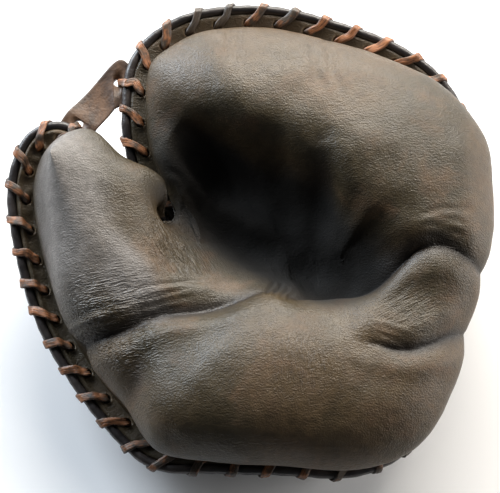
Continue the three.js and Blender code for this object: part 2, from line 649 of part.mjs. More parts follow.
// Places that one stitch runs through, as share of the pitch, distance across and height
function stitchRoute(stitch) {
  const { strand } = stitch;
  const backing = strand.joinsBack ? 0 : LEATHER + CLEARANCE;
  const depth = LACE_OVER_FLANGE + CLEARANCE - backing;
  const holdsStrap = STRAP_STITCHES.includes(stitch);
  const route = [[0, HOLE_INSET, -depth], [0, HOLE_INSET, LACE_OVER_FLANGE]];
  for (let k = 0; k < (holdsStrap ? 2 : WRAP_POINTS); k++) {
    const angle = Math.PI / 2 - k * WRAP_STEP;
    const distance = WELT_AXIS - WRAP_RADIUS * Math.cos(angle);
    route.push([STITCH_LEAN + WRAP_LEAN * k, distance, WRAP_RADIUS * Math.sin(angle)]);
  }
  if (holdsStrap) {
    const lean = STITCH_LEAN + WRAP_LEAN;
    route.push([lean, STRAP_HOLE_OUT, STRAP_TOP / 2]);
    route.push([lean, STRAP_HOLE_OUT, LACE_UNDER_STRAP]);
    route.push([(1 + lean) / 2, 0, LACE_UNDER_STRAP]);
  }
  if (strand.joinsBack && stitch.index === 0) {
    route.unshift([START_TAIL, HOLE_INSET, -depth]);
  }
  if (strand.joinsBack && stitch.fromEnd === 0) {
    route.push([END_TAIL, 0, -depth - CLEARANCE]);
  }
  return route;
}

// The lace's cross-section where its centre line turns at a place, bent like a folded ribbon
function laceRing(place, before, after) {
  const back = place.point.clone().sub(before.point).normalize();
  const ahead = after.point.clone().sub(place.point).normalize();
  const { along } = place.frame;
  const run = back.clone().add(ahead).normalize();
  const isFold = back.dot(ahead) < 0.3;
  const width = isFold
    ? back.clone().cross(ahead)
    : along.clone().addScaledVector(run, -along.dot(run));
  width.multiplyScalar(Math.sign(width.dot(along)) / width.length());
  const thick = new THREE.Vector3().crossVectors(run, width);
  const half = { width: LACE_WIDTH / 2, thick: LACE_THICKNESS / 2 / run.dot(ahead) };
  const corners = [[1, 1], [-1, 1], [-1, -1], [1, -1]];
  return corners.map(([w, t]) => {
    const corner = place.point.clone().addScaledVector(width, w * half.width);
    return corner.addScaledVector(thick, t * half.thick);
  });
}

function makeLace(strand) {
  const places = STITCHES.filter((stitch) => stitch.strand === strand).flatMap((stitch) =>
    stitchRoute(stitch).map(([share, distance, height]) => {
      const frame = frameAt(stitch.length + share * stitch.pitch);
      const spread = share === 0 ? stitch.pitch / 4 : 0; // a hole is midway between its sections
      const [before, after] = [-spread, spread].map((step) =>
        edgePoint(frameAt(frame.length + step), distance, height),
      );
      return { frame, point: before.lerp(after, 0.5) };
    }),
  );
  const mirrored = (end, inner) => ({ point: end.point.clone().multiplyScalar(2).sub(inner.point) });
  const path = [
    mirrored(places[0], places[1]),
    ...places,
    mirrored(places[places.length - 1], places[places.length - 2]),
  ];
  const rings = places.map((place, i) => laceRing(place, path[i], path[i + 2]));
  return toMesh(strand.name, toSolid(tube(rings, false)), LACE_LEATHER);
}

// Web strap from under the thumb's welt to under the fingers' welt, with a lace hole at each end
function makeStrap() {
  const lean = STITCH_LEAN + WRAP_LEAN;
  const ends = STRAP_STITCHES.map((stitch) => frameAt(stitch.length + lean * stitch.pitch));
  const middle = (STRAP_TOP + STRAP_BOTTOM) / 2;
  const [thumb, finger] = ends.map((frame) => edgePoint(frame, STRAP_HOLE_OUT, middle));
  const run = finger.clone().sub(thumb).setZ(0).normalize();
  const square = new THREE.Vector3(-run.y, run.x, 0);
  const half = square.clone().multiplyScalar(STRAP_WIDTH / 2);
  const up = new THREE.Vector3(0, 0, 1);
  // Stops at a strap end: where it slips under the welt, as wide as it crosses, and its narrower tip
  const endStops = ends.map((frame) => {
    const crossing = frame.along.clone().multiplyScalar(STRAP_WIDTH / 2 / frame.along.dot(square));
    const tip = crossing.clone().multiplyScalar(Math.min(1, STRAP_WIDTH / 2 / crossing.length()));
    const outside = STRAP_HOLE_OUT - HOLE_RADIUS - 1;
    return [
      { centre: edgePoint(frame, outside, middle), half: crossing, up: frame.up },
      { centre: edgePoint(frame, STRAP_HOLE_OUT + STRAP_TUCK, middle), half: tip, up: frame.up },
    ];
  });
  const inner = [0.3, 0.5, 0.7].map((share) => {
    const centre = thumb.clone().lerp(finger, share);
    centre.z -= STRAP_SAG * Math.sin(Math.PI * share);
    return { centre, half, up };
  });
  const stops = [...endStops[0].reverse(), ...inner, ...endStops[1]];
  const rings = stops.map((stop) => {
    const corners = [[1, 1], [-1, 1], [-1, -1], [1, -1]];
    return corners.map(([w, t]) => {
      const corner = stop.centre.clone().addScaledVector(stop.half, w);
      return corner.addScaledVector(stop.up, (t * STRAP_THICKNESS) / 2);
    });
  });
  let strap = toSolid(tube(rings, false));
  for (const frame of ends) {
    strap = drill(strap, frame, STRAP_HOLE_OUT, -3 * STRAP_BOTTOM);
  }
  return toMesh("web_strap", strap, STRAP_LEATHER);
}

const mitt = new THREE.Group();
mitt.add(makePalm(), makeBack(), makeWelt(), makeStrap(), ...STRANDS.map(makeLace));

// The origin is the middle of the footprint, on the table
const box = new THREE.Box3().setFromObject(mitt);
const centre = box.getCenter(new THREE.Vector3());
mitt.position.set(-centre.x, -centre.y, -box.min.z);

export default mitt;
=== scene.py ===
"""The looks of a first baseman's mitt: old dark padded leather, laced all round, palm up.

The palm, back, welt, laces and strap are lofted finely along the same rim as the solids.
Lengths are in millimetres until a mesh is made, and every mesh is in metres.
"""

import math

import bpy
import numpy as np
from mathutils import Matrix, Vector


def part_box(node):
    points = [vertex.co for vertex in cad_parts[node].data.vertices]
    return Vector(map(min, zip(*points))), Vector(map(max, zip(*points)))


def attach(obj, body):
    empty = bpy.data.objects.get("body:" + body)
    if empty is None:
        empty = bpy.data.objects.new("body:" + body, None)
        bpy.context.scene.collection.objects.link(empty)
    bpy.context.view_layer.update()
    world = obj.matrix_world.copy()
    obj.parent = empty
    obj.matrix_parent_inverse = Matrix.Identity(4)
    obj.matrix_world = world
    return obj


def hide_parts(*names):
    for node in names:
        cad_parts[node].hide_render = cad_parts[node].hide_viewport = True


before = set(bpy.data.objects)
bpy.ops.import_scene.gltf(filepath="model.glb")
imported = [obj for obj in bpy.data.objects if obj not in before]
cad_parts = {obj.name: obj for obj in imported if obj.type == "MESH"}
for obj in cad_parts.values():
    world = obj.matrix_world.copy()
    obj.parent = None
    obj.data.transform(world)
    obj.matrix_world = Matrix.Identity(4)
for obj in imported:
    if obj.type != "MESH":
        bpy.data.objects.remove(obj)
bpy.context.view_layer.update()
MM = 0.001

# Driving dimensions. They are those of the solids, but for a higher crest of the thumb, a narrower
# pocket line and slightly narrower holes.
RIM_WIDTH = 261
RIM_LENGTH = 260
RIM_HEIGHT = 63
PAD_RISE = 50
PAD_OVERHANG = 10
POCKET_LENGTH = 76
POCKET_WIDTH = 1.2
POCKET_FLOOR = 42
THUMB_STEP = 22
SIDE_STEP = 5
PAD_AT_POCKET = 11
PAD_AT_THUMB = 20
THUMB_CREST = 25
THUMB_LIFT = 24
LEATHER = 2.2
FLANGE_WIDTH = 9.5
HOLE_INSET = 5.6
HOLE_RADIUS = 2.9
WELT_RADIUS = 2.5
STITCH_PITCH = 18.6
CLEARANCE = 0.3
STRAP_WIDTH = 19
STRAP_THICKNESS = 2.8
STRAP_TUCK = 7
STRAP_SAG = 2
STRAP_CURL = 0.5
STRAP_WARP = 0.3
HAND_HOLE_WIDTH = 88
HAND_HOLE_DEPTH = 44
HAND_HOLE_SAG = 0.16
WRIST_BAND = 34
WRIST_INSET = 9
WRIST_LIFT = 3
CORNER_RUN = 34

# What is drawn finer than the solids: the lace is rounded and drawn tight into its holes
THONG_WIDTH = 4.8
THONG_THICKNESS = 1.6
EYELET_RADIUS = 2.5
EYELET_PUFF = 0.28
EYELET_PUFF_RUN = 0.5
EYELET_DROP = 0.45
EYELET_NARROWING = 0.93
EYELET_WEAR = 0.7
BEAD_HEIGHT = 1.5
BEAD_INSET = 1.3
BEAD_RUN = 1.25
CRINKLE_HEIGHT = 1.1
CRINKLE_RUN = 5.5
CRINKLE_DEPTH = 9
CRINKLE_LEAST = 0.2
EDGE_DROP = 0.4
SEAM_REACH = (3, 20)
SEAM_STRENGTH = 0.8
SEAM_ROUNDS = 240

# Section of the padding. Heights are shares of its rise, and places are shares of its width. The
# lip's inset and its least height are in millimetres.
LIP_INSET = 0.4
LIP_LEAST = 1
LIP_HEIGHT = 0.15
SIDE_HEIGHT = 0.48
SHOULDER_HEIGHT = 0.86
THUMB_ROUNDING = 0.2
SHOULDER_PLACE = 0.26
LINING_HEIGHT = 0.7
LINING_PLACE = 0.4

# Mesh fineness
RIM_SAMPLES = 7680
HOLE_COLUMNS = 8
GAP_STEP = 1.9
FLANGE_ROWS = 8
PAD_ROWS = 88
LINING_ROWS = 8
BACK_ROWS = 26
HOLE_RINGS = 3
RING_CROWDING = 0.8
WELT_STEP = 1.4
WELT_SIDES = 16
LACE_SIDES = 18
LACE_STEPS = 6
STRAP_STEPS = 84
STRAP_SIDES = 36
STRAP_PASSES = 60
STRAP_HOLE_SIDES = 28
HAND_HOLE_SIDES = 96

# Seeds of the noise in each place
SEEDS = {
    "margin": 3,
    "bundle": 5,
    "wobble": 11,
    "welt": 41,
    "flutter": 42,
    "mottle": 51,
    "twist": 52,
    "swell": 53,
    "swing": 54,
    "strap": 61,
}

# Sections round the rim, clockwise from above. The columns mean what they do in the solids, and
# tone is the colour of the lace there, from 0, dull brown, to 1, copper.
STATION_COLUMNS = (
    "x", "y", "z", "tilt", "bulge", "rise", "crown", "slope", "keep", "aim", "reach", "tone",
)
STATION_ROWS = {
    "crotch_finger": (-0.161, 0.036, 0.6, 0, 0.35, 0.34, 0.6, 0.82, 0.35, 139, 0, 0.5),
    "finger_inner_low": (-0.202, 0.085, 0.68, 0, -0.85, 0.22, 0.24, 0.55, 0.4, 116, 0, 0.6),
    "finger_inner_mid": (-0.241, 0.177, 0.79, 0, -0.9, 0.24, 0.16, 0.5, 0.34, 94, 0, 0.75),
    "finger_inner_top": (-0.254, 0.266, 0.89, -4, -0.9, 0.3, 0.2, 0.5, 0.28, 80, 0, 0.7),
    "strap_corner": (-0.243, 0.375, 0.95, -12, -0.9, 0.42, 0.28, 0.55, 0.3, 71, 0, 0.5),
    "finger_tip_left": (-0.192, 0.444, 0.98, -20, -1.3, 0.5, 0.34, 0.6, 0.32, 65, 0, 0.4),
    "finger_top_left": (-0.1, 0.489, 1, -24, -1.5, 0.56, 0.42, 0.65, 0.36, 60, 0, 0.12),
    "finger_top": (0.043, 0.501, 0.98, -25, -1.6, 0.56, 0.48, 0.7, 0.33, 55, 0, 0.3),
    "finger_top_right": (0.184, 0.47, 0.95, -24, -1.6, 0.6, 0.56, 0.76, 0.33, 48, 0, 0.85),
    "finger_right": (0.329, 0.416, 0.89, -20, -1.3, 0.68, 0.62, 0.8, 0.36, 39, 0, 0.95),
    "shoulder": (0.428, 0.335, 0.81, -14, -0.5, 0.74, 0.64, 0.82, 0.4, 28, 0, 0.5),
    "side_top": (0.484, 0.206, 0.71, -8, 0.6, 0.82, 0.62, 0.82, 0.42, 15, 0, 0.3),
    "side_upper": (0.487, 0.084, 0.62, -4, 0.9, 0.9, 0.5, 0.76, 0.42, 2, 0, 0.4),
    "side_mid": (0.47, -0.061, 0.56, 0, 0.9, 0.94, 0.34, 0.66, 0.45, -14, 0, 0.5),
    "side_crease": (0.428, -0.199, 0.51, 0, 0.9, 0.88, 0.38, 0.66, 0.55, -31, 0, 0.2),
    "heel_right": (0.384, -0.327, 0.48, 0, 1.1, 0.96, 0.38, 0.72, 0.6, -44, 0, 0.3),
    "heel_right_corner": (0.322, -0.438, 0.48, 2, 0.9, 0.98, 0.4, 0.78, 0.62, -54, 0, 0.2),
    "heel_bottom_right": (0.216, -0.49, 0.49, 4, 0.6, 1, 0.42, 0.8, 0.64, -63, 0, 0.2),
    "heel_bottom": (0.077, -0.487, 0.51, 4, 0.5, 1, 0.43, 0.82, 0.64, -74, 0, 0.6),
    "heel_bottom_left": (-0.067, -0.483, 0.51, 4, 0.4, 0.98, 0.43, 0.82, 0.62, -86, 0, 0.45),
    "heel_left_corner": (-0.185, -0.475, 0.49, 2, -0.1, 0.92, 0.42, 0.8, 0.62, -99, 0, 0.4),
    "heel_left": (-0.27, -0.407, 0.49, 0, -0.8, 0.84, 0.5, 0.8, 0.6, -115, 0, 0.75),
    "thumb_base": (-0.358, -0.297, 0.52, -2, -0.9, 0.76, 0.52, 0.8, 0.7, -132, 0, 0.7),
    "thumb_low": (-0.429, -0.177, 0.57, -4, -1.0, 0.82, 0.6, 0.8, 0.9, -145, 0.25, 0.85),
    "thumb_side": (-0.476, -0.036, 0.67, -8, -1.4, 0.8, 0.68, 0.84, 0.97, -160, 0.6, 0.75),
    "thumb_upper": (-0.497, 0.102, 0.79, -12, -1.5, 0.7, 0.7, 0.86, 1, -168, 0.85, 0.45),
    "thumb_tip_left": (-0.469, 0.197, 0.89, -14, -1.3, 0.61, 0.66, 0.88, 1, -175, 0.97, 0.6),
    "thumb_tip": (-0.413, 0.226, 0.94, -10, -0.8, 0.56, 0.5, 0.9, 1, -180, 1, 0.5),
    "thumb_tip_right": (-0.357, 0.202, 0.9, -4, 0.8, 0.59, 0.4, 0.88, 1, -185, 0.93, 0.5),
    "thumb_inner": (-0.308, 0.128, 0.79, 0, 1.3, 0.67, 0.34, 0.7, 1, -190, 0.75, 0.5),
    "thumb_inner_low": (-0.251, 0.05, 0.68, 0, 2.5, 0.72, 0.32, 0.7, 1, -196, 0.5, 0.5),
    "crotch_thumb": (-0.21, -0.003, 0.6, 0, 1.3, 0.68, 0.36, 0.72, 1, -203, 0.22, 0.5),
}
STATION_NAMES = list(STATION_ROWS)
STATIONS = dict(zip(STATION_COLUMNS, np.array(list(STATION_ROWS.values()), float).T))
STATION_COUNT = len(STATION_NAMES)

POCKET_CENTRE = np.array([0.015, -0.087])
THUMB_CORNER = np.array([-0.222, 0.031])
THUMB_TIP = np.array([-0.28, 0.223])
RIM_SIZE = np.array([RIM_WIDTH, RIM_LENGTH])

# Folds of the palm: depth, width, power, lip and path. depth and width are in millimetres, and a
# negative depth stands proud. power is 1 for a sharp crease and 2 for a soft hollow. lip is how far
# the leather swells beside the fold. The path is in shares of the rim.
FOLD_ROWS = {
    "thumb_crease": (
        5.5, 7, 1, 1.2,
        [(-0.41, -0.262), (-0.282, -0.243), (-0.2, -0.206), (-0.084, -0.184), (0.058, -0.131)],
    ),
    "pocket_crease": (
        8, 8, 1, 1,
        [(0.1, -0.15), (0.176, -0.12), (0.24, -0.118), (0.31, -0.088), (0.4, -0.066), (0.49, -0.102)],
    ),
    "side_crease": (5, 7, 1, 0.9, [(0.251, -0.276), (0.331, -0.284), (0.475, -0.22)]),
    "notch_channel": (
        7.5, 11, 2, 0,
        [(-0.165, 0.075), (-0.09, 0.035), (-0.003, -0.015), (0.065, -0.055), (0.13, -0.09)],
    ),
    "web_ridge": (
        -4, 10, 2, 0, [(-0.209, 0.202), (-0.101, 0.086), (-0.016, 0.035), (0.079, -0.031)],
    ),
    "web_valley": (
        6, 10, 2, 0, [(-0.176, 0.22), (-0.048, 0.118), (0.048, 0.048), (0.111, -0.058)],
    ),
    "finger_valley": (4.5, 9, 2, 0, [(0.147, 0.148), (0.148, 0.04), (0.138, -0.063)]),
}

# Strands of lace, each from one station to another, and whether it also goes through the back
STRANDS = (
    ("lace_fingers", "crotch_finger", "heel_right_corner", True),
    ("lace_heel", "heel_right_corner", "heel_left_corner", False),
    ("lace_thumb", "heel_left_corner", "thumb_inner_low", True),
)
STRAP_THUMB_STITCH = ("lace_thumb", -4)
STRAP_FINGER_STITCH = ("lace_fingers", 4)

FLANGE_BOTTOM = CLEARANCE / 2
FLANGE_TOP = FLANGE_BOTTOM + LEATHER
WELT_AXIS = -(WELT_RADIUS + CLEARANCE)
LACE_GAP = 0.1
LACE_BITE = 0.35
LACE_OVER = FLANGE_TOP + LACE_GAP + THONG_THICKNESS / 2
WRAP_RADIUS = WELT_RADIUS - LACE_BITE + THONG_THICKNESS / 2
STRAP_TOP = -(WELT_RADIUS + 2 * CLEARANCE)
STRAP_MIDDLE = STRAP_TOP - STRAP_THICKNESS / 2
STRAP_HOLE_OUT = -7.65


def catmull(a, b, c, d, f):
    """Catmull-Rom value a share f of the way from b to c."""
    return b + 0.5 * f * (c - a + f * (2 * a - 5 * b + 4 * c - d + f * (3 * (b - c) + d - a)))


def column_at(t, column):
    """Catmull-Rom value of one column of the stations; t counts stations and wraps round."""
    t = np.asarray(t, float)
    first = np.floor(t).astype(int)
    f = t - first

    def value(i):
        turns = i // STATION_COUNT
        found = STATIONS[column][i - turns * STATION_COUNT]
        return found - 360 * turns if column == "aim" else found

    return catmull(*(value(first + k) for k in (-1, 0, 1, 2)), f)


def rim_point(t):
    return np.stack(
        [
            column_at(t, "x") * RIM_WIDTH,
            column_at(t, "y") * RIM_LENGTH,
            column_at(t, "z") * RIM_HEIGHT,
        ],
        -1,
    )


SAMPLE_STATIONS = np.linspace(0, STATION_COUNT, RIM_SAMPLES + 1)
SAMPLE_POINTS = rim_point(SAMPLE_STATIONS)
SAMPLE_LENGTHS = np.concatenate(
    [[0], np.cumsum(np.linalg.norm(np.diff(SAMPLE_POINTS, axis=0), axis=1))]
)
PERIMETER = SAMPLE_LENGTHS[-1]


def length_at(name):
    return np.interp(STATION_NAMES.index(name), SAMPLE_STATIONS, SAMPLE_LENGTHS)


def unit(v):
    return v / np.maximum(np.linalg.norm(v, axis=-1, keepdims=True), 1e-9)


def clamp(x, low=0.0, high=1.0):
    return np.minimum(np.maximum(x, low), high)


def smooth(x, low=0.0, high=1.0):
    """0 below low, 1 above high and a smooth step between them."""
    s = clamp((x - low) / (high - low))
    return s * s * (3 - 2 * s)


def mixed(a, b, share):
    return a + (b - a) * share


class Rim:
    """Places along the rim with their local axes, one for each length given."""

    def __init__(self, length):
        self.length = np.asarray(length, float)
        turns = np.floor(self.length / PERIMETER)
        rest = self.length - turns * PERIMETER
        self.t = np.interp(rest, SAMPLE_LENGTHS, SAMPLE_STATIONS) + turns * STATION_COUNT
        self.point = rim_point(self.t)
        self.along = unit(rim_point(self.t + 0.02) - rim_point(self.t - 0.02))
        flat = np.stack(
            [self.along[..., 1], -self.along[..., 0], np.zeros_like(self.along[..., 0])], -1
        )
        self.inward = unit(flat)
        level = np.cross(self.inward, self.along)
        tilt = np.radians(column_at(self.t, "tilt"))[..., None]
        self.across = self.inward * np.cos(tilt) + level * np.sin(tilt)
        self.up = level * np.cos(tilt) - self.inward * np.sin(tilt)

    def at(self, distance, height):
        """The point at a distance in from the rim and a height above it."""
        distance = np.asarray(distance, float)[..., None]
        height = np.asarray(height, float)[..., None]
        return self.point + self.across * distance + self.up * height


def pocket_floor(share):
    thumb = clamp((0.65 - share) / 0.65, 0, 9) ** 1.2
    side = clamp((share - 0.75) / 0.25, 0, 9) ** 2
    return POCKET_FLOOR + THUMB_STEP * thumb + SIDE_STEP * side


def pocket_point(t):
    """Point of the pocket line or the thumb's crest that a section runs to."""
    aim = np.radians(column_at(t, "aim"))
    reach = clamp(column_at(t, "reach"))
    bend = 2 * reach * (1 - reach)
    plan = (POCKET_CENTRE + bend[:, None] * THUMB_CORNER + reach[:, None] ** 2 * THUMB_TIP) * RIM_SIZE
    x = plan[:, 0] + POCKET_LENGTH / 2 * np.cos(aim)
    y = plan[:, 1] + POCKET_WIDTH / 2 * np.sin(aim)
    z = pocket_floor((1 + np.cos(aim)) / 2) + THUMB_CREST * reach**0.7
    return np.stack([x, y, z], -1)


def with_height(points, z):
    raised = points.copy()
    raised[..., 2] = z
    return raised


def through(controls, steps):
    """Centripetal Catmull-Rom points through each row of controls, evenly spaced."""
    count = controls.shape[1]
    ahead = 2 * controls[:, :1] - controls[:, 1:2]
    behind = 2 * controls[:, -1:] - controls[:, -2:-1]
    p = np.concatenate([ahead, controls, behind], 1)
    gaps = np.maximum(np.linalg.norm(np.diff(p, axis=1), axis=2), 1e-3) ** 0.5
    fine = []
    shares = np.arange(16) / 16
    for i in range(count - 1):
        x0, x1, x2, x3 = (p[:, i + k][:, None] for k in range(4))
        d0, d1, d2 = (gaps[:, i + k][:, None, None] for k in range(3))
        m1 = ((x1 - x0) / d0 - (x2 - x0) / (d0 + d1) + (x2 - x1) / d1) * d1
        m2 = ((x2 - x1) / d1 - (x3 - x1) / (d1 + d2) + (x3 - x2) / d2) * d1
        w = shares[None, :, None]
        c2 = -3 * x1 + 3 * x2 - 2 * m1 - m2
        c3 = 2 * x1 - 2 * x2 + m1 + m2
        fine.append(x1 + w * (m1 + w * (c2 + w * c3)))
    fine.append(controls[:, -1:])
    fine = np.concatenate(fine, 1)
    runs = np.linalg.norm(np.diff(fine, axis=1), axis=2)
    lengths = np.concatenate([np.zeros((len(fine), 1)), np.cumsum(runs, 1)], 1)
    rows = np.empty((len(fine), steps + 1, 3))
    for i, (line, length) in enumerate(zip(fine, lengths)):
        wanted = np.linspace(0, length[-1], steps + 1)
        for axis in range(3):
            rows[i, :, axis] = np.interp(wanted, length, line[:, axis])
    return rows


def palm_curves(rim):
    """The padded upper surface in each section, from the foot of the padding to the pocket."""
    t = rim.t
    rise = column_at(t, "rise") * PAD_RISE
    top = rim.point[:, 2] + rise
    foot = rim.at(FLANGE_WIDTH, FLANGE_TOP)
    pocket = pocket_point(t)
    lip = foot + rim.inward * LIP_INSET
    lip[:, 2] += LIP_LEAST + LIP_HEIGHT * rise
    out = (column_at(t, "bulge") * PAD_OVERHANG + FLANGE_WIDTH)[:, None]
    side = with_height(foot - rim.inward * out, rim.point[:, 2] + SIDE_HEIGHT * rise)
    crown = with_height(mixed(foot, pocket, column_at(t, "crown")[:, None]), top)
    rounded = SHOULDER_HEIGHT - THUMB_ROUNDING * clamp(column_at(t, "reach"))
    shoulder = with_height(mixed(side, crown, SHOULDER_PLACE), rim.point[:, 2] + rounded * rise)
    left = column_at(t, "keep") * (top - pocket[:, 2])
    slope = mixed(foot, pocket, column_at(t, "slope")[:, None])
    slope = with_height(slope, pocket[:, 2] + left)
    controls = np.stack([foot, lip, side, shoulder, crown, slope, pocket], 1)
    return through(controls, PAD_ROWS)


def lining_curves(rim):
    """The roof of the room for the hand in each section."""
    pocket = pocket_point(rim.t)
    share = (pocket[:, 2] - POCKET_FLOOR) / THUMB_STEP
    roof = with_height(pocket, pocket[:, 2] - mixed(PAD_AT_POCKET, PAD_AT_THUMB, share))
    foot = rim.at(FLANGE_WIDTH, FLANGE_BOTTOM)
    height = mixed(foot[:, 2], roof[:, 2], LINING_HEIGHT)
    middle = with_height(mixed(foot, roof, LINING_PLACE), height)
    return through(np.stack([foot, middle, roof], 1), LINING_ROWS)


def width_scale(length):
    """How much narrower the margin is at the holes than at the rim, where the rim is curved."""
    ends = Rim(np.array([length - 2, length + 2])).at(HOLE_INSET, 0)
    return np.linalg.norm(ends[1] - ends[0]) / 4


def all_stitches():
    """Every stitch: its strand and its place there, its place on the rim, and its block's width."""
    found = []
    for strand, start_name, end_name, joins_back in STRANDS:
        start = length_at(start_name)
        end = length_at(end_name)
        count = round((end - start) / STITCH_PITCH)
        pitch = (end - start) / count
        for index in range(count):
            length = start + (index + 0.5) * pitch
            scale = width_scale(length)
            found.append(
                {
                    "strand": strand,
                    "joins_back": joins_back,
                    "index": index,
                    "from_end": count - 1 - index,
                    "pitch": pitch,
                    "length": length,
                    "scale": scale,
                    "half": (HOLE_RADIUS + 1) / scale,
                }
            )
    return found


STITCHES = all_stitches()


def strap_stitch(strand, index):
    """The stitch of a strand that also holds the strap."""
    return [stitch for stitch in STITCHES if stitch["strand"] == strand][index]


STRAP_STITCHES = [strap_stitch(*STRAP_THUMB_STITCH), strap_stitch(*STRAP_FINGER_STITCH)]


def fine_columns():
    """Places of the mesh's columns: a block at each hole and even ones between the blocks."""
    lengths = []
    for stitch, following in zip(STITCHES, STITCHES[1:] + STITCHES[:1]):
        stitch["column"] = len(lengths)
        start = stitch["length"] - stitch["half"]
        end = stitch["length"] + stitch["half"]
        lengths.extend(np.linspace(start, end, HOLE_COLUMNS + 1)[:-1])
        next_start = following["length"] - following["half"]
        if next_start < end:
            next_start += PERIMETER
        count = max(2, round((next_start - end) / GAP_STEP))
        lengths.extend(np.linspace(end, next_start, count + 1)[:-1])
    return np.array(lengths)


COLUMNS = Rim(fine_columns())
COLUMN_COUNT = len(COLUMNS.length)


def between_stations(length, start, end, fade):
    """1 between two stations of the rim and 0 outside them, with soft ends."""
    start_length = length_at(start)
    end_length = length_at(end)
    run = (np.asarray(length) - start_length) % PERIMETER
    span = (end_length - start_length) % PERIMETER
    rising = smooth(run, 0, fade)
    falling = 1 - smooth(run, span - fade, span)
    return np.where(run <= span, rising * falling, 0.0)


def lattice(x, y, z, seed):
    """Smooth noise from -1 to 1 with one wave to each unit, the same at each run."""
    x, y, z = (np.asarray(v, float) for v in np.broadcast_arrays(x, y, z))
    corner = [np.floor(v).astype(np.int64) for v in (x, y, z)]
    part = [v - c for v, c in zip((x, y, z), corner)]
    ease = [p * p * (3 - 2 * p) for p in part]
    total = np.zeros(x.shape)
    for dx in (0, 1):
        for dy in (0, 1):
            for dz in (0, 1):
                h = (corner[0] + dx) * 73856093 ^ (corner[1] + dy) * 19349663
                h = h ^ (corner[2] + dz) * 83492791 ^ seed * 2654435761
                h = (h ^ (h >> 13)) * 1274126177 & 0x7FFFFFFF
                value = (h % 20011) / 10005.5 - 1
                wx = ease[0] if dx else 1 - ease[0]
                wy = ease[1] if dy else 1 - ease[1]
                wz = ease[2] if dz else 1 - ease[2]
                total = total + value * wx * wy * wz
    return total


def unevenness(points, span, seed):
    """Smooth noise through space, with one wave to each span."""
    return lattice(*np.moveaxis(points / span, -1, 0), seed)


def margin_height(length, distance):
    """How far the palm's margin stands above its flat height: a bead at the thumb, and crinkles."""
    length = np.asarray(length, float)
    distance = np.asarray(distance, float)
    thumb = between_stations(length, "heel_left", "thumb_tip_right", 40)
    bead = BEAD_HEIGHT * thumb * np.exp(-(((distance - BEAD_INSET) / BEAD_RUN) ** 2))
    puckered = between_stations(length, "thumb_side", "thumb_inner", 30)
    crinkled = CRINKLE_LEAST + (1 - CRINKLE_LEAST) * puckered
    wave = lattice(length / CRINKLE_RUN, distance / CRINKLE_DEPTH + 5, 0, SEEDS["margin"])
    ends = smooth(distance, 0, 2) * (1 - smooth(distance, FLANGE_WIDTH - 2, FLANGE_WIDTH))
    return bead + CRINKLE_HEIGHT * crinkled * ends * wave


class Mesh:
    """Vertices, triangles and attributes of one piece, added block by block."""

    def __init__(self):
        self.points = []
        self.faces = []
        self.count = 0
        self.values = {}

    def add(self, points, **values):
        """Adds points and returns their numbers, in the same arrangement."""
        flat = points.reshape(-1, 3)
        numbers = np.arange(self.count, self.count + len(flat)).reshape(points.shape[:-1])
        self.points.append(flat)
        for name in set(self.values) | set(values):
            rows = self.values.setdefault(name, [np.zeros(self.count)])
            value = np.broadcast_to(values.get(name, 0.0), points.shape[:-1])
            rows.append(value.reshape(-1))
        self.count += len(flat)
        return numbers

    def quads(self, a, b, c, d):
        """Adds quads with corners a, b, c, d, each as two triangles."""
        a, b, c, d = (np.asarray(x).reshape(-1) for x in (a, b, c, d))
        self.faces.append(np.stack([a, b, c], 1))
        self.faces.append(np.stack([a, c, d], 1))

    def triangles(self, faces):
        self.faces.append(np.asarray(faces).reshape(-1, 3))

    def finished(self):
        points = np.concatenate(self.points)
        faces = np.concatenate(self.faces)
        values = {name: np.concatenate(rows) for name, rows in self.values.items()}
        return points, faces, values


def zipped(ring, facing_up):
    """Triangles across a long narrow ring of points, as places in the ring."""
    count = len(ring)
    left = right = int(np.argmax(ring[:, 0]))
    faces = []
    while right - left < count - 1:
        rightward = np.linalg.norm(ring[(right + 1) % count] - ring[left % count])
        leftward = np.linalg.norm(ring[(left - 1) % count] - ring[right % count])
        tip = right + 1 if rightward < leftward else left - 1
        if left != right:
            face = (right, left, tip) if facing_up else (left, right, tip)
            faces.append([i % count for i in face])
        right = max(right, tip)
        left = min(left, tip)
    return np.array(faces)


def grid_quads(mesh, numbers, upward, skipped):
    """Joins rows of points that run round the rim. skipped marks cells that are left open."""
    beside = np.roll(numbers, -1, axis=1)
    corners = (numbers[:-1], numbers[1:], beside[1:], beside[:-1])
    a, b, c, d = (corner[~skipped] for corner in corners)
    if upward:
        mesh.quads(a, b, c, d)
    else:
        mesh.quads(a, d, c, b)


def block_border(numbers, column):
    """Point numbers round the block of the margin that surrounds one hole."""
    cols = (column + np.arange(HOLE_COLUMNS + 1)) % COLUMN_COUNT
    first, last = cols[0], cols[-1]
    border = list(numbers[0, cols[:-1]])
    border += list(numbers[:FLANGE_ROWS, last])
    border += list(numbers[FLANGE_ROWS, cols[:0:-1]])
    border += list(numbers[FLANGE_ROWS:0:-1, first])
    return np.array(border)


def border_places(stitch):
    """The same places as distance along from the hole and distance in from the rim."""
    cols = np.linspace(-stitch["half"], stitch["half"], HOLE_COLUMNS + 1)
    rows = np.linspace(0, FLANGE_WIDTH, FLANGE_ROWS + 1)
    places = [(s, 0.0) for s in cols[:-1]]
    places += [(cols[-1], d) for d in rows[:-1]]
    places += [(s, FLANGE_WIDTH) for s in cols[:0:-1]]
    places += [(cols[0], d) for d in rows[:0:-1]]
    return np.array(places)


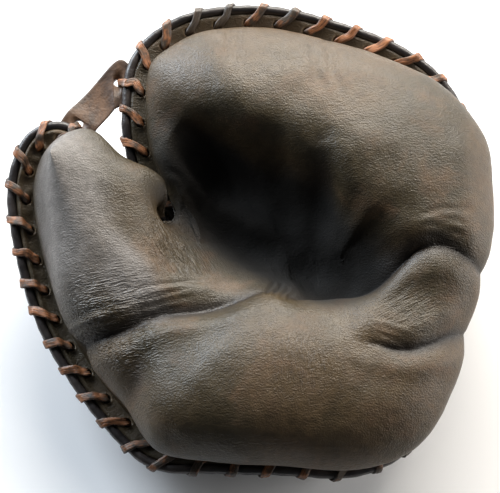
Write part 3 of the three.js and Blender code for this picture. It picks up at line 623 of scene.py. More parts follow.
def add_hole(mesh, stitch, upper, lower, heights, lift):
    """Rings of points round a hole on both sides of the leather, and the hole's wall."""
    places = border_places(stitch)
    angle = np.arctan2(places[:, 1] - HOLE_INSET, places[:, 0] * stitch["scale"])
    circle = np.stack(
        [
            EYELET_RADIUS * np.cos(angle) / stitch["scale"],
            HOLE_INSET + EYELET_RADIUS * np.sin(angle),
        ],
        1,
    )
    rims = []
    for side, (numbers, height) in enumerate(zip((upper, lower), heights)):
        outer = block_border(numbers, stitch["column"])
        sign = 1 if side == 0 else -1
        for ring in range(1, HOLE_RINGS + 2):
            share = min(1.0, (ring / HOLE_RINGS) ** RING_CROWDING)
            place = mixed(places, circle, share)
            if ring == HOLE_RINGS + 1:
                inset = HOLE_INSET + (circle[:, 1] - HOLE_INSET) * EYELET_NARROWING
                place = np.stack([circle[:, 0] * EYELET_NARROWING, inset], 1)
            spot = Rim(stitch["length"] + place[:, 0])
            away = np.hypot(place[:, 0] * stitch["scale"], place[:, 1] - HOLE_INSET) - EYELET_RADIUS
            puffed = np.exp(-(((away - EYELET_PUFF_RUN) / EYELET_PUFF_RUN) ** 2))
            puff = EYELET_PUFF * puffed * (away > -0.05)
            drop = 0.0 if ring <= HOLE_RINGS else EYELET_DROP
            over = lift(spot.length, place[:, 1]) if side == 0 else 0.0
            points = spot.at(place[:, 1], height + sign * (puff - drop) + over)
            worn = np.exp(-((away / EYELET_WEAR) ** 2)) * (drop == 0)
            inner = mesh.add(points, worn=worn)
            following = np.roll(inner, -1)
            outer_following = np.roll(outer, -1)
            if side == 0:
                mesh.quads(outer, inner, following, outer_following)
            else:
                mesh.quads(outer, outer_following, following, inner)
            outer = inner
        rims.append(outer)
    top, bottom = rims
    mesh.quads(top, bottom, np.roll(bottom, -1), np.roll(top, -1))


def holed_cells(stitches):
    skipped = np.zeros((FLANGE_ROWS, COLUMN_COUNT), bool)
    for stitch in stitches:
        cols = (stitch["column"] + np.arange(HOLE_COLUMNS)) % COLUMN_COUNT
        skipped[:, cols] = True
    return skipped


def laced_sheet(upper, lower, stitches, heights, lift):
    """Closed piece from an upper and a lower surface, each given as rows of points that run round
    the rim, with the rows of the margin first. Each stitch has a hole in the margin."""
    mesh = Mesh()
    top_rows, top_values = upper
    bottom_rows, bottom_values = lower
    top = mesh.add(top_rows, **top_values)
    bottom = mesh.add(bottom_rows, **bottom_values)
    skipped = holed_cells(stitches)
    for numbers, upward in ((top, True), (bottom, False)):
        open_cells = np.zeros((len(numbers) - 1, COLUMN_COUNT), bool)
        open_cells[:FLANGE_ROWS] = skipped
        grid_quads(mesh, numbers, upward, open_cells)
    mesh.quads(top[0], np.roll(top[0], -1), np.roll(bottom[0], -1), bottom[0])
    for stitch in stitches:
        add_hole(mesh, stitch, top, bottom, heights, lift)
    mesh.triangles(top[-1][zipped(top_rows[-1], True)])
    mesh.triangles(bottom[-1][zipped(bottom_rows[-1], False)])
    return mesh.finished()


def vertex_normals(points, faces):
    a, b, c = (points[faces[:, k]] for k in range(3))
    face_normals = np.cross(b - a, c - a)
    normals = np.zeros_like(points)
    for k in range(3):
        for axis in range(3):
            normals[:, axis] += np.bincount(faces[:, k], face_normals[:, axis], len(points))
    return unit(normals)


def relaxed(points, faces, weight, rounds):
    """Points drawn towards the middle of their neighbours, as strongly as their weight says."""
    edges = np.concatenate([faces[:, [0, 1]], faces[:, [1, 2]], faces[:, [2, 0]]])
    edges = np.concatenate([edges, edges[:, ::-1]])
    near = weight[edges[:, 0]] > 0
    edges = edges[near]
    degree = np.maximum(np.bincount(edges[:, 0], minlength=len(points)), 1)
    points = points.copy()
    for _ in range(rounds):
        for axis in range(3):
            total = np.bincount(edges[:, 0], points[edges[:, 1], axis], len(points))
            moved = total / degree - points[:, axis]
            points[:, axis] += weight * moved
    return points


def path_curve(path):
    controls = np.array([[(x * RIM_WIDTH, y * RIM_LENGTH, 0) for x, y in path]], float)
    return through(controls, 24)[0, :, :2]


def path_distance(plan, line):
    """Distance of each plan point to a line, and the share of the line there."""
    best = np.full(len(plan), np.inf)
    share = np.zeros(len(plan))
    for i in range(len(line) - 1):
        run = line[i + 1] - line[i]
        away = plan - line[i]
        f = clamp(away @ run / (run @ run))
        gap = away - f[:, None] * run
        distance = np.hypot(gap[:, 0], gap[:, 1])
        closer = distance < best
        best = np.where(closer, distance, best)
        share = np.where(closer, (i + f) / (len(line) - 1), share)
    return best, share


# Shape of the folds. A crease has a broad part and a narrow one, whose shares and narrowing these
# are, and a rounded bottom. Within its reach it is darkened with painted shade. The leather swells
# beside a fold, at a place and over a run that are shares of the fold's width.
CREASE_BROAD = 0.55
CREASE_NARROW = 0.45
CREASE_NARROWING = 0.45
CREASE_ROUNDING = 0.6
CREASE_BOTTOM = 0.77
CREASE_REACH = 2.2
SWELL_PLACE = 1.6
SWELL_RUN = 0.7
FOLD_ENDS = (0.06, 0.94)


def fold_field(plan):
    """How far the folds press the palm in at plan points, and how strongly the painted shade of a
    crease lies there.
    """
    pressed = np.zeros(len(plan))
    crease = np.zeros(len(plan))
    for depth, width, power, lip, path in FOLD_ROWS.values():
        distance, share = path_distance(plan, path_curve(path))
        ends = np.sin(np.pi * clamp(share, *FOLD_ENDS)) ** 0.5
        if power == 1:
            broad = np.exp(-(np.sqrt(distance**2 + CREASE_ROUNDING) - CREASE_BOTTOM) / width)
            narrow = np.exp(-(distance / (CREASE_NARROWING * width)))
            across = CREASE_BROAD * broad + CREASE_NARROW * narrow
            crease = np.maximum(crease, ends * np.exp(-((distance / CREASE_REACH) ** 2)))
        else:
            across = np.exp(-((distance / width) ** 2))
        swell = np.exp(-(((distance - SWELL_PLACE * width) / (SWELL_RUN * width)) ** 2))
        pressed += ends * (depth * across - lip * swell)
    return pressed, crease


def make_object(name, points, faces, values, material):
    """A named object from points in millimetres, triangles and values at the points."""
    mesh = bpy.data.meshes.new(name)
    placed = (points + SHIFT) * MM
    mesh.vertices.add(len(placed))
    mesh.vertices.foreach_set("co", placed.astype(np.float32).ravel())
    mesh.loops.add(faces.size)
    mesh.loops.foreach_set("vertex_index", faces.astype(np.int32).ravel())
    mesh.polygons.add(len(faces))
    mesh.polygons.foreach_set("loop_start", np.arange(0, faces.size, 3, dtype=np.int32))
    mesh.polygons.foreach_set("loop_total", np.full(len(faces), 3, dtype=np.int32))
    mesh.polygons.foreach_set("use_smooth", np.full(len(faces), True))
    mesh.update(calc_edges=True)
    mesh.validate()
    for key, value in values.items():
        layer = mesh.attributes.new(key, "FLOAT", "POINT")
        layer.data.foreach_set("value", value.astype(np.float32))
    mesh.materials.append(material)
    piece = bpy.data.objects.new(name, mesh)
    bpy.context.scene.collection.objects.link(piece)
    return piece


def margin_rows(height, lift):
    """Rows of the flat margin, from its edge in to the foot of the padding."""
    rows = []
    for distance in np.linspace(0, FLANGE_WIDTH, FLANGE_ROWS + 1):
        over = lift(COLUMNS.length, np.full(COLUMN_COUNT, distance))
        rows.append(COLUMNS.at(np.full(COLUMN_COUNT, distance), height + over))
    return np.array(rows)


def flat_lift(length, distance):
    return np.zeros(np.shape(length))


# The welt's place in the solids gives the shift from the rim's own centre to the model's
WELT_LINE = COLUMNS.at(WELT_AXIS, 0)
WELT_MIDDLE = (WELT_LINE.min(0) + WELT_LINE.max(0)) / 2
WELT_BOX = [np.array(corner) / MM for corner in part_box("edge_welt")]
SHIFT = (WELT_BOX[0] + WELT_BOX[1]) / 2 - WELT_MIDDLE
SHIFT[2] = 0


# Bundles of short wrinkles: x, y, angle, length, count, spacing, depth, width and bend. x and y are
# the middle, in shares of the rim, angle is in degrees, and the lengths are in millimetres.
BUNDLE_ROWS = {
    "heel_middle": (0.1, -0.3, 92, 26, 5, 7, 0.2, 1.8, 3),
    "heel_middle_low": (0.13, -0.38, 80, 22, 5, 6, 0.25, 1.7, -2),
    "thumb_root": (-0.16, -0.08, 118, 15, 6, 3.6, 0.7, 1.1, 2),
    "thumb_crease_end": (-0.31, -0.22, 12, 24, 5, 4.2, 0.8, 1.4, 3),
    "thumb_crease_middle": (-0.17, -0.165, 14, 22, 4, 4.4, 0.6, 1.3, -2),
    "side_fan": (0.33, -0.19, 40, 15, 4, 5.5, 0.35, 1.8, 3),
    "side_fan_low": (0.29, -0.255, 160, 14, 4, 4.6, 0.35, 1.5, 3),
    "lobe_foot": (0.41, -0.02, 8, 16, 3, 6.5, 0.5, 2.2, -2),
    "crease_fan": (0.4, -0.03, 170, 17, 3, 6, 0.5, 2.0, 3),
    "finger_furrow": (-0.03, 0.39, 84, 15, 2, 6, 1.0, 2.4, 1),
    "finger_furrow_right": (0.16, 0.34, 100, 22, 2, 8, 0.9, 3.0, -2),
    "pocket_floor": (0.07, -0.14, 70, 9, 4, 4, 0.8, 1.3, 1),
    "wall_left": (-0.1, 0.12, 130, 26, 3, 10, 0.9, 2.6, 3),
}
# Unevenness of the wrinkles: their waviness in millimetres, and how much their spacing, length and
# place differ from each other
WRINKLE_WOBBLE = 0.9
SPACING_JITTER = 0.25
LENGTH_LEAST = 0.75
LENGTH_JITTER = 0.35
PLACE_JITTER = 0.3
# Soft hollows of the padding: x and y in shares of the rim, half sizes across and along in
# millimetres, angle in degrees and depth in millimetres
HOLLOW_ROWS = {
    "heel_dent": (-0.23, -0.33, 8, 15, 78, 3.2),
    "thumb_flat": (-0.37, 0.04, 22, 34, 100, 1.6),
    "finger_flat": (0.02, 0.37, 46, 20, 0, 1.2),
    "pocket_deep": (0.165, -0.095, 10, 22, -20, 8),
}


def local_axes(plan, x, y, angle):
    """Distances along and across a direction, from a middle given in shares of the rim."""
    away = plan - np.array([x * RIM_WIDTH, y * RIM_LENGTH])
    turn = math.radians(angle)
    u = away[:, 0] * math.cos(turn) + away[:, 1] * math.sin(turn)
    v = away[:, 1] * math.cos(turn) - away[:, 0] * math.sin(turn)
    return u, v


def bundle_field(plan):
    pressed = np.zeros(len(plan))
    for number, row in enumerate(BUNDLE_ROWS.values()):
        x, y, angle, length, count, spacing, depth, width, bend = row
        u, v = local_axes(plan, x, y, angle)
        wobble = WRINKLE_WOBBLE * lattice(u / 7, v / 14, number, SEEDS["wobble"])
        for i in range(count):
            jitter = float(lattice(i * 1.7, number * 2.3, 0.5, SEEDS["bundle"]))
            offset = (i - (count - 1) / 2) * spacing * (1 + SPACING_JITTER * jitter)
            reach = length * (LENGTH_LEAST + LENGTH_JITTER * jitter)
            shift = reach * PLACE_JITTER * jitter
            line = offset + bend * (u / length) ** 2 + wobble
            ends = np.exp(-(((u - shift) / reach) ** 4))
            pressed += depth * ends * np.exp(-(((v - line) / width) ** 2))
    return pressed


def hollow_field(plan):
    pressed = np.zeros(len(plan))
    for x, y, across, along, angle, depth in HOLLOW_ROWS.values():
        u, v = local_axes(plan, x, y, angle)
        pressed += depth * np.exp(-((u / along) ** 2) - (v / across) ** 2)
    return pressed


# Painted shade: leather darkened where shade falls in the pocket and at the foot of the fingers'
# wall, and the painted shadow that the lobe casts over the right crease: x and y in shares of the
# rim, half sizes along and across in millimetres and angle in degrees
PAINTED_SHADE_ROWS = {
    "pocket": (0.1, -0.005, 78, 40, -18),
    "wall_foot": (-0.06, 0.1, 52, 24, -42),
    "lobe_shadow_on_crease": (0.245, -0.142, 40, 13, 12),
}
# Painted shade lies below these heights in millimetres: all of it below the first, none above the
# second
PAINTED_SHADE_HEIGHTS = (62, 82)
# Unevenness of the padding: height and span in millimetres, and seed. It fades out at the foot.
LUMPS = ((0.8, 34, 21), (0.35, 13, 22), (0.12, 5, 23))
FOOT_FADE = 14
# Depth in millimetres at which a hollow has its full painted shade
HOLLOW_FULL = 6
# Painted sheen: paler, greyer leather on the thumb that stands in for the light's reflection there,
# in the same columns as the painted shade
PAINTED_SHEEN_ROWS = {
    "thumb": (-0.375, 0.02, 62, 27, 100),
    "thumb_root": (-0.27, -0.1, 40, 16, 130),
}


def patch_field(points, rows):
    """1 inside the named patches, falling to 0 outside them."""
    inside = np.zeros(len(points))
    for x, y, along, across, angle in rows.values():
        u, v = local_axes(points[:, :2], x, y, angle)
        inside = np.maximum(inside, 1 - smooth(np.hypot(u / along, v / across), 0.55, 1.15))
    return inside


def make_palm(material):
    curves = palm_curves(COLUMNS)
    spacing = np.linalg.norm(curves[:, 1] - curves[:, 0], axis=1)
    pad = curves.transpose(1, 0, 2)[1:]
    margin = margin_rows(FLANGE_TOP, margin_height)
    margin[0] -= COLUMNS.up * EDGE_DROP
    top = np.concatenate([margin, pad])
    rows = np.arange(1, PAD_ROWS + 1)[:, None]
    from_foot = rows * spacing
    to_pocket = (PAD_ROWS - rows) * spacing
    none = np.zeros((FLANGE_ROWS + 1, COLUMN_COUNT))
    padding = np.concatenate([none, smooth(from_foot, 0, FOOT_FADE)])
    reach = clamp(column_at(COLUMNS.t, "reach") * 3)
    seam = np.concatenate([none, 1 - smooth(to_pocket / (1 + 1.5 * reach), *SEAM_REACH)])
    lining = lining_curves(COLUMNS).transpose(1, 0, 2)[1:]
    under = np.concatenate([margin_rows(FLANGE_BOTTOM, flat_lift), lining])
    edge = np.zeros_like(padding)
    edge[: FLANGE_ROWS + 1] = 1
    points, faces, values = laced_sheet(
        (top, {"padding": padding, "seam": seam, "margin": edge}),
        (under, {}),
        STITCHES,
        (FLANGE_TOP, FLANGE_BOTTOM),
        margin_height,
    )
    points = relaxed(points, faces, SEAM_STRENGTH * values.pop("seam"), SEAM_ROUNDS)
    normals = vertex_normals(points, faces)
    padding = values.pop("padding")
    plan = points[:, :2]
    pressed, crease = fold_field(plan)
    pressed += bundle_field(plan) + hollow_field(plan)
    lumps = sum(height * unevenness(points, span, seed) for height, span, seed in LUMPS)
    shaped = points + normals * (padding * (lumps - pressed))[:, None]
    # Painted shade along the creases
    values["crease"] = crease * padding
    # Painted shade in the pocket and at the foot of the fingers' wall, and the lobe's painted shadow
    # over the right crease, kept to the low parts of the padding
    low = 1 - smooth(points[:, 2], *PAINTED_SHADE_HEIGHTS)
    values["pocket"] = patch_field(points, PAINTED_SHADE_ROWS) * low * padding
    # Painted sheen on the thumb
    values["painted_sheen"] = patch_field(points, PAINTED_SHEEN_ROWS) * padding
    # Painted shade in the folds, wrinkles and hollows, as deep as they are pressed in
    values["hollow"] = clamp(pressed / HOLLOW_FULL, -1, 1) * padding
    palm = make_object("palm", shaped, faces, values, material)
    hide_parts("palm_pad")
    return palm


def wrist_share(length):
    """0 where the back is laced to the palm and 1 where it is let down for the wrist."""
    start = length_at("heel_right_corner")
    end = length_at("heel_left_corner")
    return smooth(length - start, 0, CORNER_RUN) * smooth(end - length, 0, CORNER_RUN)


def back_margin(height_above):
    rows = []
    wrist = wrist_share(COLUMNS.length)[:, None]
    for distance in np.linspace(0, FLANGE_WIDTH, FLANGE_ROWS + 1):
        laced = COLUMNS.at(np.full(COLUMN_COUNT, distance), -FLANGE_TOP)
        freed = COLUMNS.point + COLUMNS.inward * (WRIST_INSET + distance)
        freed = with_height(freed, WRIST_LIFT * (1 - distance / FLANGE_WIDTH))
        outward = unit(mixed(COLUMNS.up, np.array([0, 0, 1.0]), wrist))
        rows.append(mixed(laced, freed, wrist) + outward * height_above)
    return np.array(rows)


# Section of the back, as shares of the way from its margin to the middle, and its unevenness in
# millimetres: height, span and seed
BACK_NEAR_PLACE = 0.1
BACK_NEAR_HEIGHT = 0.42
BACK_FAR_PLACE = 0.4
BACK_LUMPS = ((1, 26, 31), (0.4, 9, 32))
BACK_LUMP_SHARE = 0.7


def make_back(material):
    reach = clamp(column_at(COLUMNS.t, "reach"))
    lowest = THUMB_LIFT * reach**2
    outer_margin = back_margin(0)
    foot = outer_margin[-1]
    pocket = with_height(pocket_point(COLUMNS.t), lowest)
    near_height = mixed(lowest, foot[:, 2], BACK_NEAR_HEIGHT)
    near = with_height(mixed(foot, pocket, BACK_NEAR_PLACE), near_height)
    far = with_height(mixed(foot, pocket, BACK_FAR_PLACE), lowest)
    curves = through(np.stack([foot, near, far, pocket], 1), BACK_ROWS)
    outer = curves.transpose(1, 0, 2)[1:].copy()
    floor = np.broadcast_to(lowest, outer.shape[:2])
    outer[..., 2] = np.maximum(outer[..., 2], floor)
    whole = np.concatenate([outer_margin, outer])
    inward_run = np.gradient(whole, axis=0)
    along_run = np.roll(whole, -1, 1) - np.roll(whole, 1, 1)
    level = np.concatenate([np.zeros(FLANGE_ROWS + 1), smooth(np.arange(BACK_ROWS), 8, 13)])
    normals = unit(np.cross(inward_run, along_run))
    normals = unit(mixed(normals, np.array([0, 0, 1.0]), level[:, None, None]))
    free = smooth(whole[..., 2], 3, 14)[..., None]
    wave = sum(height * unevenness(whole, span, seed) for height, span, seed in BACK_LUMPS)
    settle = np.concatenate([np.zeros(FLANGE_ROWS + 1), smooth(np.arange(BACK_ROWS), 0, 5)])
    whole = whole + normals * free * (BACK_LUMP_SHARE * wave * settle[:, None])[..., None]
    inner = whole + normals * LEATHER
    inner[: FLANGE_ROWS + 1] = back_margin(LEATHER)
    heights = (-FLANGE_BOTTOM, -FLANGE_TOP)
    points, faces, values = laced_sheet((inner, {}), (whole, {}), [], heights, flat_lift)
    back = make_object("back", points, faces, values, material)
    cut_through(back, hand_hole_prism(material))
    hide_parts("back_panel")
    return back


def prism_object(name, outline, bottom, top, material):
    """Closed prism over a plan outline that runs counter-clockwise."""
    count = len(outline)
    low = np.column_stack([outline, np.full(count, bottom)])
    high = np.column_stack([outline, np.full(count, top)])
    centres = np.array([[*outline.mean(0), bottom], [*outline.mean(0), top]])
    points = np.concatenate([low, high, centres])
    i = np.arange(count)
    j = (i + 1) % count
    faces = np.concatenate(
        [
            np.stack([i, j, j + count], 1),
            np.stack([i, j + count, i + count], 1),
            np.stack([j, i, np.full(count, 2 * count)], 1),
            np.stack([i + count, j + count, np.full(count, 2 * count + 1)], 1),
        ]
    )
    return make_object(name, points, faces, {}, material)


def hand_hole_prism(material):
    """Prism through the back for the half-moon hole, which is flatter towards the wrist."""
    angle = np.linspace(0, 2 * np.pi, HAND_HOLE_SIDES, endpoint=False)
    height = np.sin(angle) * np.where(np.sin(angle) > 0, 1, HAND_HOLE_SAG)
    wrist = Rim([length_at("heel_bottom")]).point[0, 1] + WRIST_INSET + WRIST_BAND
    outline = np.column_stack(
        [HAND_HOLE_WIDTH / 2 * np.cos(angle), wrist + HAND_HOLE_DEPTH * height]
    )
    return prism_object("cutter", outline, -LEATHER, 3 * LEATHER, material)


def cut_through(piece, cutter):
    """Takes the cutter out of the piece and removes the cutter."""
    modifier = piece.modifiers.new("cut", "BOOLEAN")
    modifier.operation = "DIFFERENCE"
    modifier.solver = "EXACT"
    modifier.object = cutter
    depsgraph = bpy.context.evaluated_depsgraph_get()
    cut = bpy.data.meshes.new_from_object(piece.evaluated_get(depsgraph))
    piece.modifiers.remove(modifier)
    old = piece.data
    name = old.name
    piece.data = cut
    bpy.data.meshes.remove(old)
    cut.name = name
    bpy.data.objects.remove(cutter)


def tube(rings, closed):
    """Triangles of a tube through rings of points, each ring counter-clockwise seen from ahead."""
    count, sides = rings.shape[:2]
    numbers = np.arange(count * sides).reshape(count, sides)
    here = numbers if closed else numbers[:-1]
    ahead = np.roll(numbers, -1, 0) if closed else numbers[1:]
    a, b = here, np.roll(here, -1, 1)
    c, d = ahead, np.roll(ahead, -1, 1)
    faces = [np.stack([a, b, d], -1).reshape(-1, 3), np.stack([a, d, c], -1).reshape(-1, 3)]
    if not closed:
        first, last = numbers[0], numbers[-1]
        k = np.arange(1, sides - 1)
        faces.append(np.stack([np.full(len(k), first[0]), first[k + 1], first[k]], 1))
        faces.append(np.stack([np.full(len(k), last[0]), last[k], last[k + 1]], 1))
    return rings.reshape(-1, 3), np.concatenate(faces)


def shaped_wave(wave, power):
    """A wave between -1 and 1, made squarer by a power below 1. Its sign is kept."""
    return np.sign(wave) * np.abs(wave) ** power


# The welt is a little fuller than its radius, pressed in under each stitch and swollen beside it,
# and its surface is uneven. The stitch crosses it at a share of the pitch.
WELT_FULLNESS = 0.25
WELT_CROSSING = 0.3
WELT_PRESSED = 0.22
WELT_PRESSED_RUN = 2.8
WELT_SWOLLEN = 0.12
WELT_SWOLLEN_PLACE = 5.2
WELT_SWOLLEN_RUN = 2.2
WELT_INSET = 0.35
WELT_UNEVENNESS = 0.1
WELT_FLUTTER = 0.05


def make_welt(material):
    count = int(PERIMETER / WELT_STEP)
    rim = Rim(np.linspace(0, PERIMETER, count, endpoint=False))
    radius = np.full(count, WELT_RADIUS + WELT_FULLNESS)
    for stitch in STITCHES:
        gap = rim.length - (stitch["length"] + WELT_CROSSING * stitch["pitch"])
        gap = (gap + PERIMETER / 2) % PERIMETER - PERIMETER / 2
        beside = np.abs(gap) - WELT_SWOLLEN_PLACE
        radius -= WELT_PRESSED * np.exp(-((gap / WELT_PRESSED_RUN) ** 2))
        radius += WELT_SWOLLEN * np.exp(-(beside / WELT_SWOLLEN_RUN) ** 2)
    radius += WELT_UNEVENNESS * lattice(rim.length / 7, 0, 0, SEEDS["welt"])
    rings = []
    for k in range(WELT_SIDES):
        angle = 2 * math.pi * k / WELT_SIDES
        flutter = WELT_FLUTTER * lattice(rim.length / 3, k, 0, SEEDS["flutter"])
        size = radius + flutter
        distance = WELT_AXIS + WELT_INSET + size * math.sin(angle)
        rings.append(rim.at(distance, size * math.cos(angle)))
    points, faces = tube(np.stack(rings, 1), True)
    welt = make_object("welt", points, faces, {}, material)
    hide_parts("edge_welt")
    return welt


# How far a stitch leans along the rim, in shares of the pitch: at the welt, for each step round
# the welt, at the strap, and more or less from stitch to stitch
LEAN = 0.46
WRAP_LEAN = 0.03
STRAP_LEAN = 0.33
LACE_SWING = 0.1
WRAP_ANGLES = (78, 50, 22, -6, -34, -62, -90)
# Unevenness of the lace: its colour, its twist in radians, its width and the ridges of its strands
LACE_MOTTLE = 0.35
LACE_TWIST = 0.42
LACE_SWELL = 0.16
STRAND_RIDGE = 0.2
# How square the sections of the lace and the strap are, in width and in thickness: 1 is an ellipse
LACE_POWERS = (0.6, 0.8)
STRAP_POWERS = (0.16, 0.55)


def lace_route(stitch, tail_before, tail_after):
    """Places of one stitch in order: share of the pitch, distance in and height."""
    backing = 0 if stitch["joins_back"] else LEATHER + CLEARANCE
    under = backing - LACE_OVER
    route = [
        (-0.08, HOLE_INSET - 0.4, under),
        (0, HOLE_INSET + 0.5, under + 1.4),
        (0, HOLE_INSET + 0.7, 1.2),
        (0.03, HOLE_INSET + 0.1, LACE_OVER - 0.3),
        (0.16, HOLE_INSET - 2.2, LACE_OVER + 0.15),
        (0.32, HOLE_INSET - 4.9, LACE_OVER),
    ]
    holds_strap = stitch in STRAP_STITCHES
    angles = WRAP_ANGLES[:3] if holds_strap else WRAP_ANGLES
    number = STITCHES.index(stitch)
    swing = LACE_SWING * float(lattice(number * 2.9, 0.8, 0.1, SEEDS["swing"]))
    lean = STRAP_LEAN - 3 * WRAP_LEAN if holds_strap else LEAN + swing
    for k, angle in enumerate(angles):
        turn = math.radians(angle)
        distance = WELT_AXIS - WRAP_RADIUS * math.cos(turn)
        route.append((lean + WRAP_LEAN * k, distance, WRAP_RADIUS * math.sin(turn)))
    if holds_strap:
        below = STRAP_TOP - STRAP_THICKNESS - LACE_GAP - THONG_THICKNESS / 2
        route.append((STRAP_LEAN, STRAP_HOLE_OUT + 0.2, STRAP_TOP + 1))
        route.append((STRAP_LEAN, STRAP_HOLE_OUT + 0.2, STRAP_MIDDLE))
        route.append((STRAP_LEAN + 0.05, STRAP_HOLE_OUT + 1.2, below))
        route.append((0.6, -1, below))
    else:
        route.append((0.72, 0, under))
        route.append((0.84, HOLE_INSET - 2.4, under - 0.1))
    if tail_before:
        route.insert(0, (-0.3, HOLE_INSET - 2, under))
    if tail_after:
        route = route[:-2] + [(0.6, 0, under - 0.2), (0.75, 1, under - 0.2)]
    return route


def make_lace(name, material):
    stitches = [stitch for stitch in STITCHES if stitch["strand"] == name]
    lengths, distances, heights, tones = [], [], [], []
    for stitch in stitches:
        first = stitch["index"] == 0 and stitch["joins_back"]
        last = stitch["from_end"] == 0 and stitch["joins_back"]
        number = STITCHES.index(stitch)
        noise = float(lattice(number * 1.37, 0.3, 0.7, SEEDS["mottle"]))
        tone = float(column_at(Rim([stitch["length"]]).t, "tone")[0]) + LACE_MOTTLE * noise
        for share, distance, height in lace_route(stitch, first, last):
            lengths.append(stitch["length"] + share * stitch["pitch"])
            distances.append(distance)
            heights.append(height)
            tones.append(tone)
    lengths, distances, heights = (np.array(v) for v in (lengths, distances, heights))
    rim = Rim(lengths)
    over = np.where(heights > 2, margin_height(lengths, distances), 0)
    over = np.where(distances > 0, over, 0)
    centres = rim.at(distances, heights + clamp(over, 0, 9))
    path = refined(centres, LACE_STEPS)
    along = unit(refined(rim.along, LACE_STEPS))
    tone = refined(np.array(tones)[:, None], LACE_STEPS)[:, 0]
    run = unit(np.gradient(path, axis=0))
    wide = unit(along - run * np.sum(along * run, 1, keepdims=True))
    thick = np.cross(run, wide)
    travelled = np.concatenate([[0], np.cumsum(np.linalg.norm(np.diff(path, axis=0), axis=1))])
    twist = LACE_TWIST * lattice(travelled / 9, 0, 0, SEEDS["twist"])[:, None]
    wide, thick = (
        wide * np.cos(twist) + thick * np.sin(twist),
        thick * np.cos(twist) - wide * np.sin(twist),
    )
    angle = 2 * np.pi * (np.arange(LACE_SIDES) + 0.5) / LACE_SIDES
    across = shaped_wave(np.cos(angle), LACE_POWERS[0])
    deep = shaped_wave(np.sin(angle), LACE_POWERS[1])
    size = 1 + LACE_SWELL * lattice(travelled / 8, 3, 0, SEEDS["swell"])
    half_width = THONG_WIDTH / 2 * size
    phase = 2.4 * math.pi * across + 0.25 * travelled[:, None]
    strands = STRAND_RIDGE * np.cos(phase) * np.abs(np.sin(angle))
    half_thickness = THONG_THICKNESS / 2 * (deep + strands * np.sign(deep))
    rings = path[:, None] + wide[:, None] * (half_width[:, None] * across)[..., None]
    rings = rings + thick[:, None] * half_thickness[..., None]
    points, faces = tube(rings, False)
    values = {
        "tone": np.repeat(tone, LACE_SIDES),
        "run": np.repeat(travelled, LACE_SIDES),
        "side": np.tile(across, len(path)),
    }
    lace = make_object(name + "_thong", points, faces, values, material)
    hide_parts(name)
    return lace


def refined(values, steps):
    """Catmull-Rom values between rows, with a number of steps to each row."""
    p = np.concatenate([2 * values[:1] - values[1:2], values, 2 * values[-1:] - values[-2:-1]])
    rows = []
    for k in range(steps):
        rows.append(catmull(p[:-3], p[1:-2], p[2:-1], p[3:], k / steps))
    fine = np.stack(rows, 1).reshape(-1, values.shape[1])
    return np.concatenate([fine, values[-1:]])


def make_strap(material):
    ends = [Rim([stitch["length"] + STRAP_LEAN * stitch["pitch"]]) for stitch in STRAP_STITCHES]
    thumb, finger = [end.at([STRAP_HOLE_OUT], [STRAP_MIDDLE])[0] for end in ends]
    run = unit((finger - thumb) * [1, 1, 0])
    square = np.array([-run[1], run[0], 0])
    # Stops from the thumb's tip to the fingers' tip: place, half width and upward direction
    stops = []
    for end, sign in zip(ends, (1, -1)):
        crossing = end.along[0] * (STRAP_WIDTH / 2 / (end.along[0] @ square))
        tip = crossing * min(1, STRAP_WIDTH / 2 / np.linalg.norm(crossing))
        outside = end.at([STRAP_HOLE_OUT - 1.5], [STRAP_MIDDLE])[0]
        inside = end.at([STRAP_HOLE_OUT + STRAP_TUCK], [STRAP_MIDDLE])[0]
        pair = [
            np.concatenate([inside, tip, end.up[0]]),
            np.concatenate([outside, crossing, end.up[0]]),
        ]
        stops.append(pair[::sign])
    first, last = stops[0][1], stops[1][0]
    line = [stops[0][0], first]
    for share in (0.2, 0.5, 0.8):
        stop = mixed(first, last, share)
        stop[3:6] = mixed(stop[3:6], square * STRAP_WIDTH / 2, math.sin(math.pi * share))
        line.append(stop)
    line = np.array([*line, last, stops[1][1]])
    steps = np.linspace(0, len(line) - 1, STRAP_STEPS)
    fine = np.stack([np.interp(steps, np.arange(len(line)), column) for column in line.T], 1)
    for _ in range(STRAP_PASSES):
        fine[1:-1] += 0.25 * (fine[:-2] + fine[2:] - 2 * fine[1:-1])
    fine[:, 2] -= STRAP_SAG * np.sin(np.pi * smooth(steps, 1, len(line) - 2))
    centre, half, up = fine[:, :3], fine[:, 3:6], unit(fine[:, 6:])
    angle = 2 * np.pi * (np.arange(STRAP_SIDES) + 0.5) / STRAP_SIDES
    across = shaped_wave(np.cos(angle), STRAP_POWERS[0])
    deep = shaped_wave(np.sin(angle), STRAP_POWERS[1])
    curl = STRAP_CURL * across**4
    rings = centre[:, None] + half[:, None] * across[None, :, None]
    rise = STRAP_THICKNESS / 2 * deep + curl
    rings = rings + up[:, None] * rise[None, :, None]
    wave = unevenness(rings, 9, SEEDS["strap"])
    rings = rings + up[:, None] * (STRAP_WARP * wave)[..., None]
    points, faces = tube(rings, False)
    values = {"edge": np.tile(np.abs(across) ** 6, len(fine))}
    strap = make_object("strap", points, faces, values, material)
    for end in ends:
        hole_centre = end.at([STRAP_HOLE_OUT - 0.4], [STRAP_MIDDLE])[0]
        turn = np.linspace(0, 2 * np.pi, STRAP_HOLE_SIDES, endpoint=False)
        outline = hole_centre[:2] + EYELET_RADIUS * np.column_stack([np.cos(turn), np.sin(turn)])
        cutter = prism_object("cutter", outline, hole_centre[2] - 8, hole_centre[2] + 8, material)
        cut_through(strap, cutter)
    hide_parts("web_strap")
    return strap


# Materials

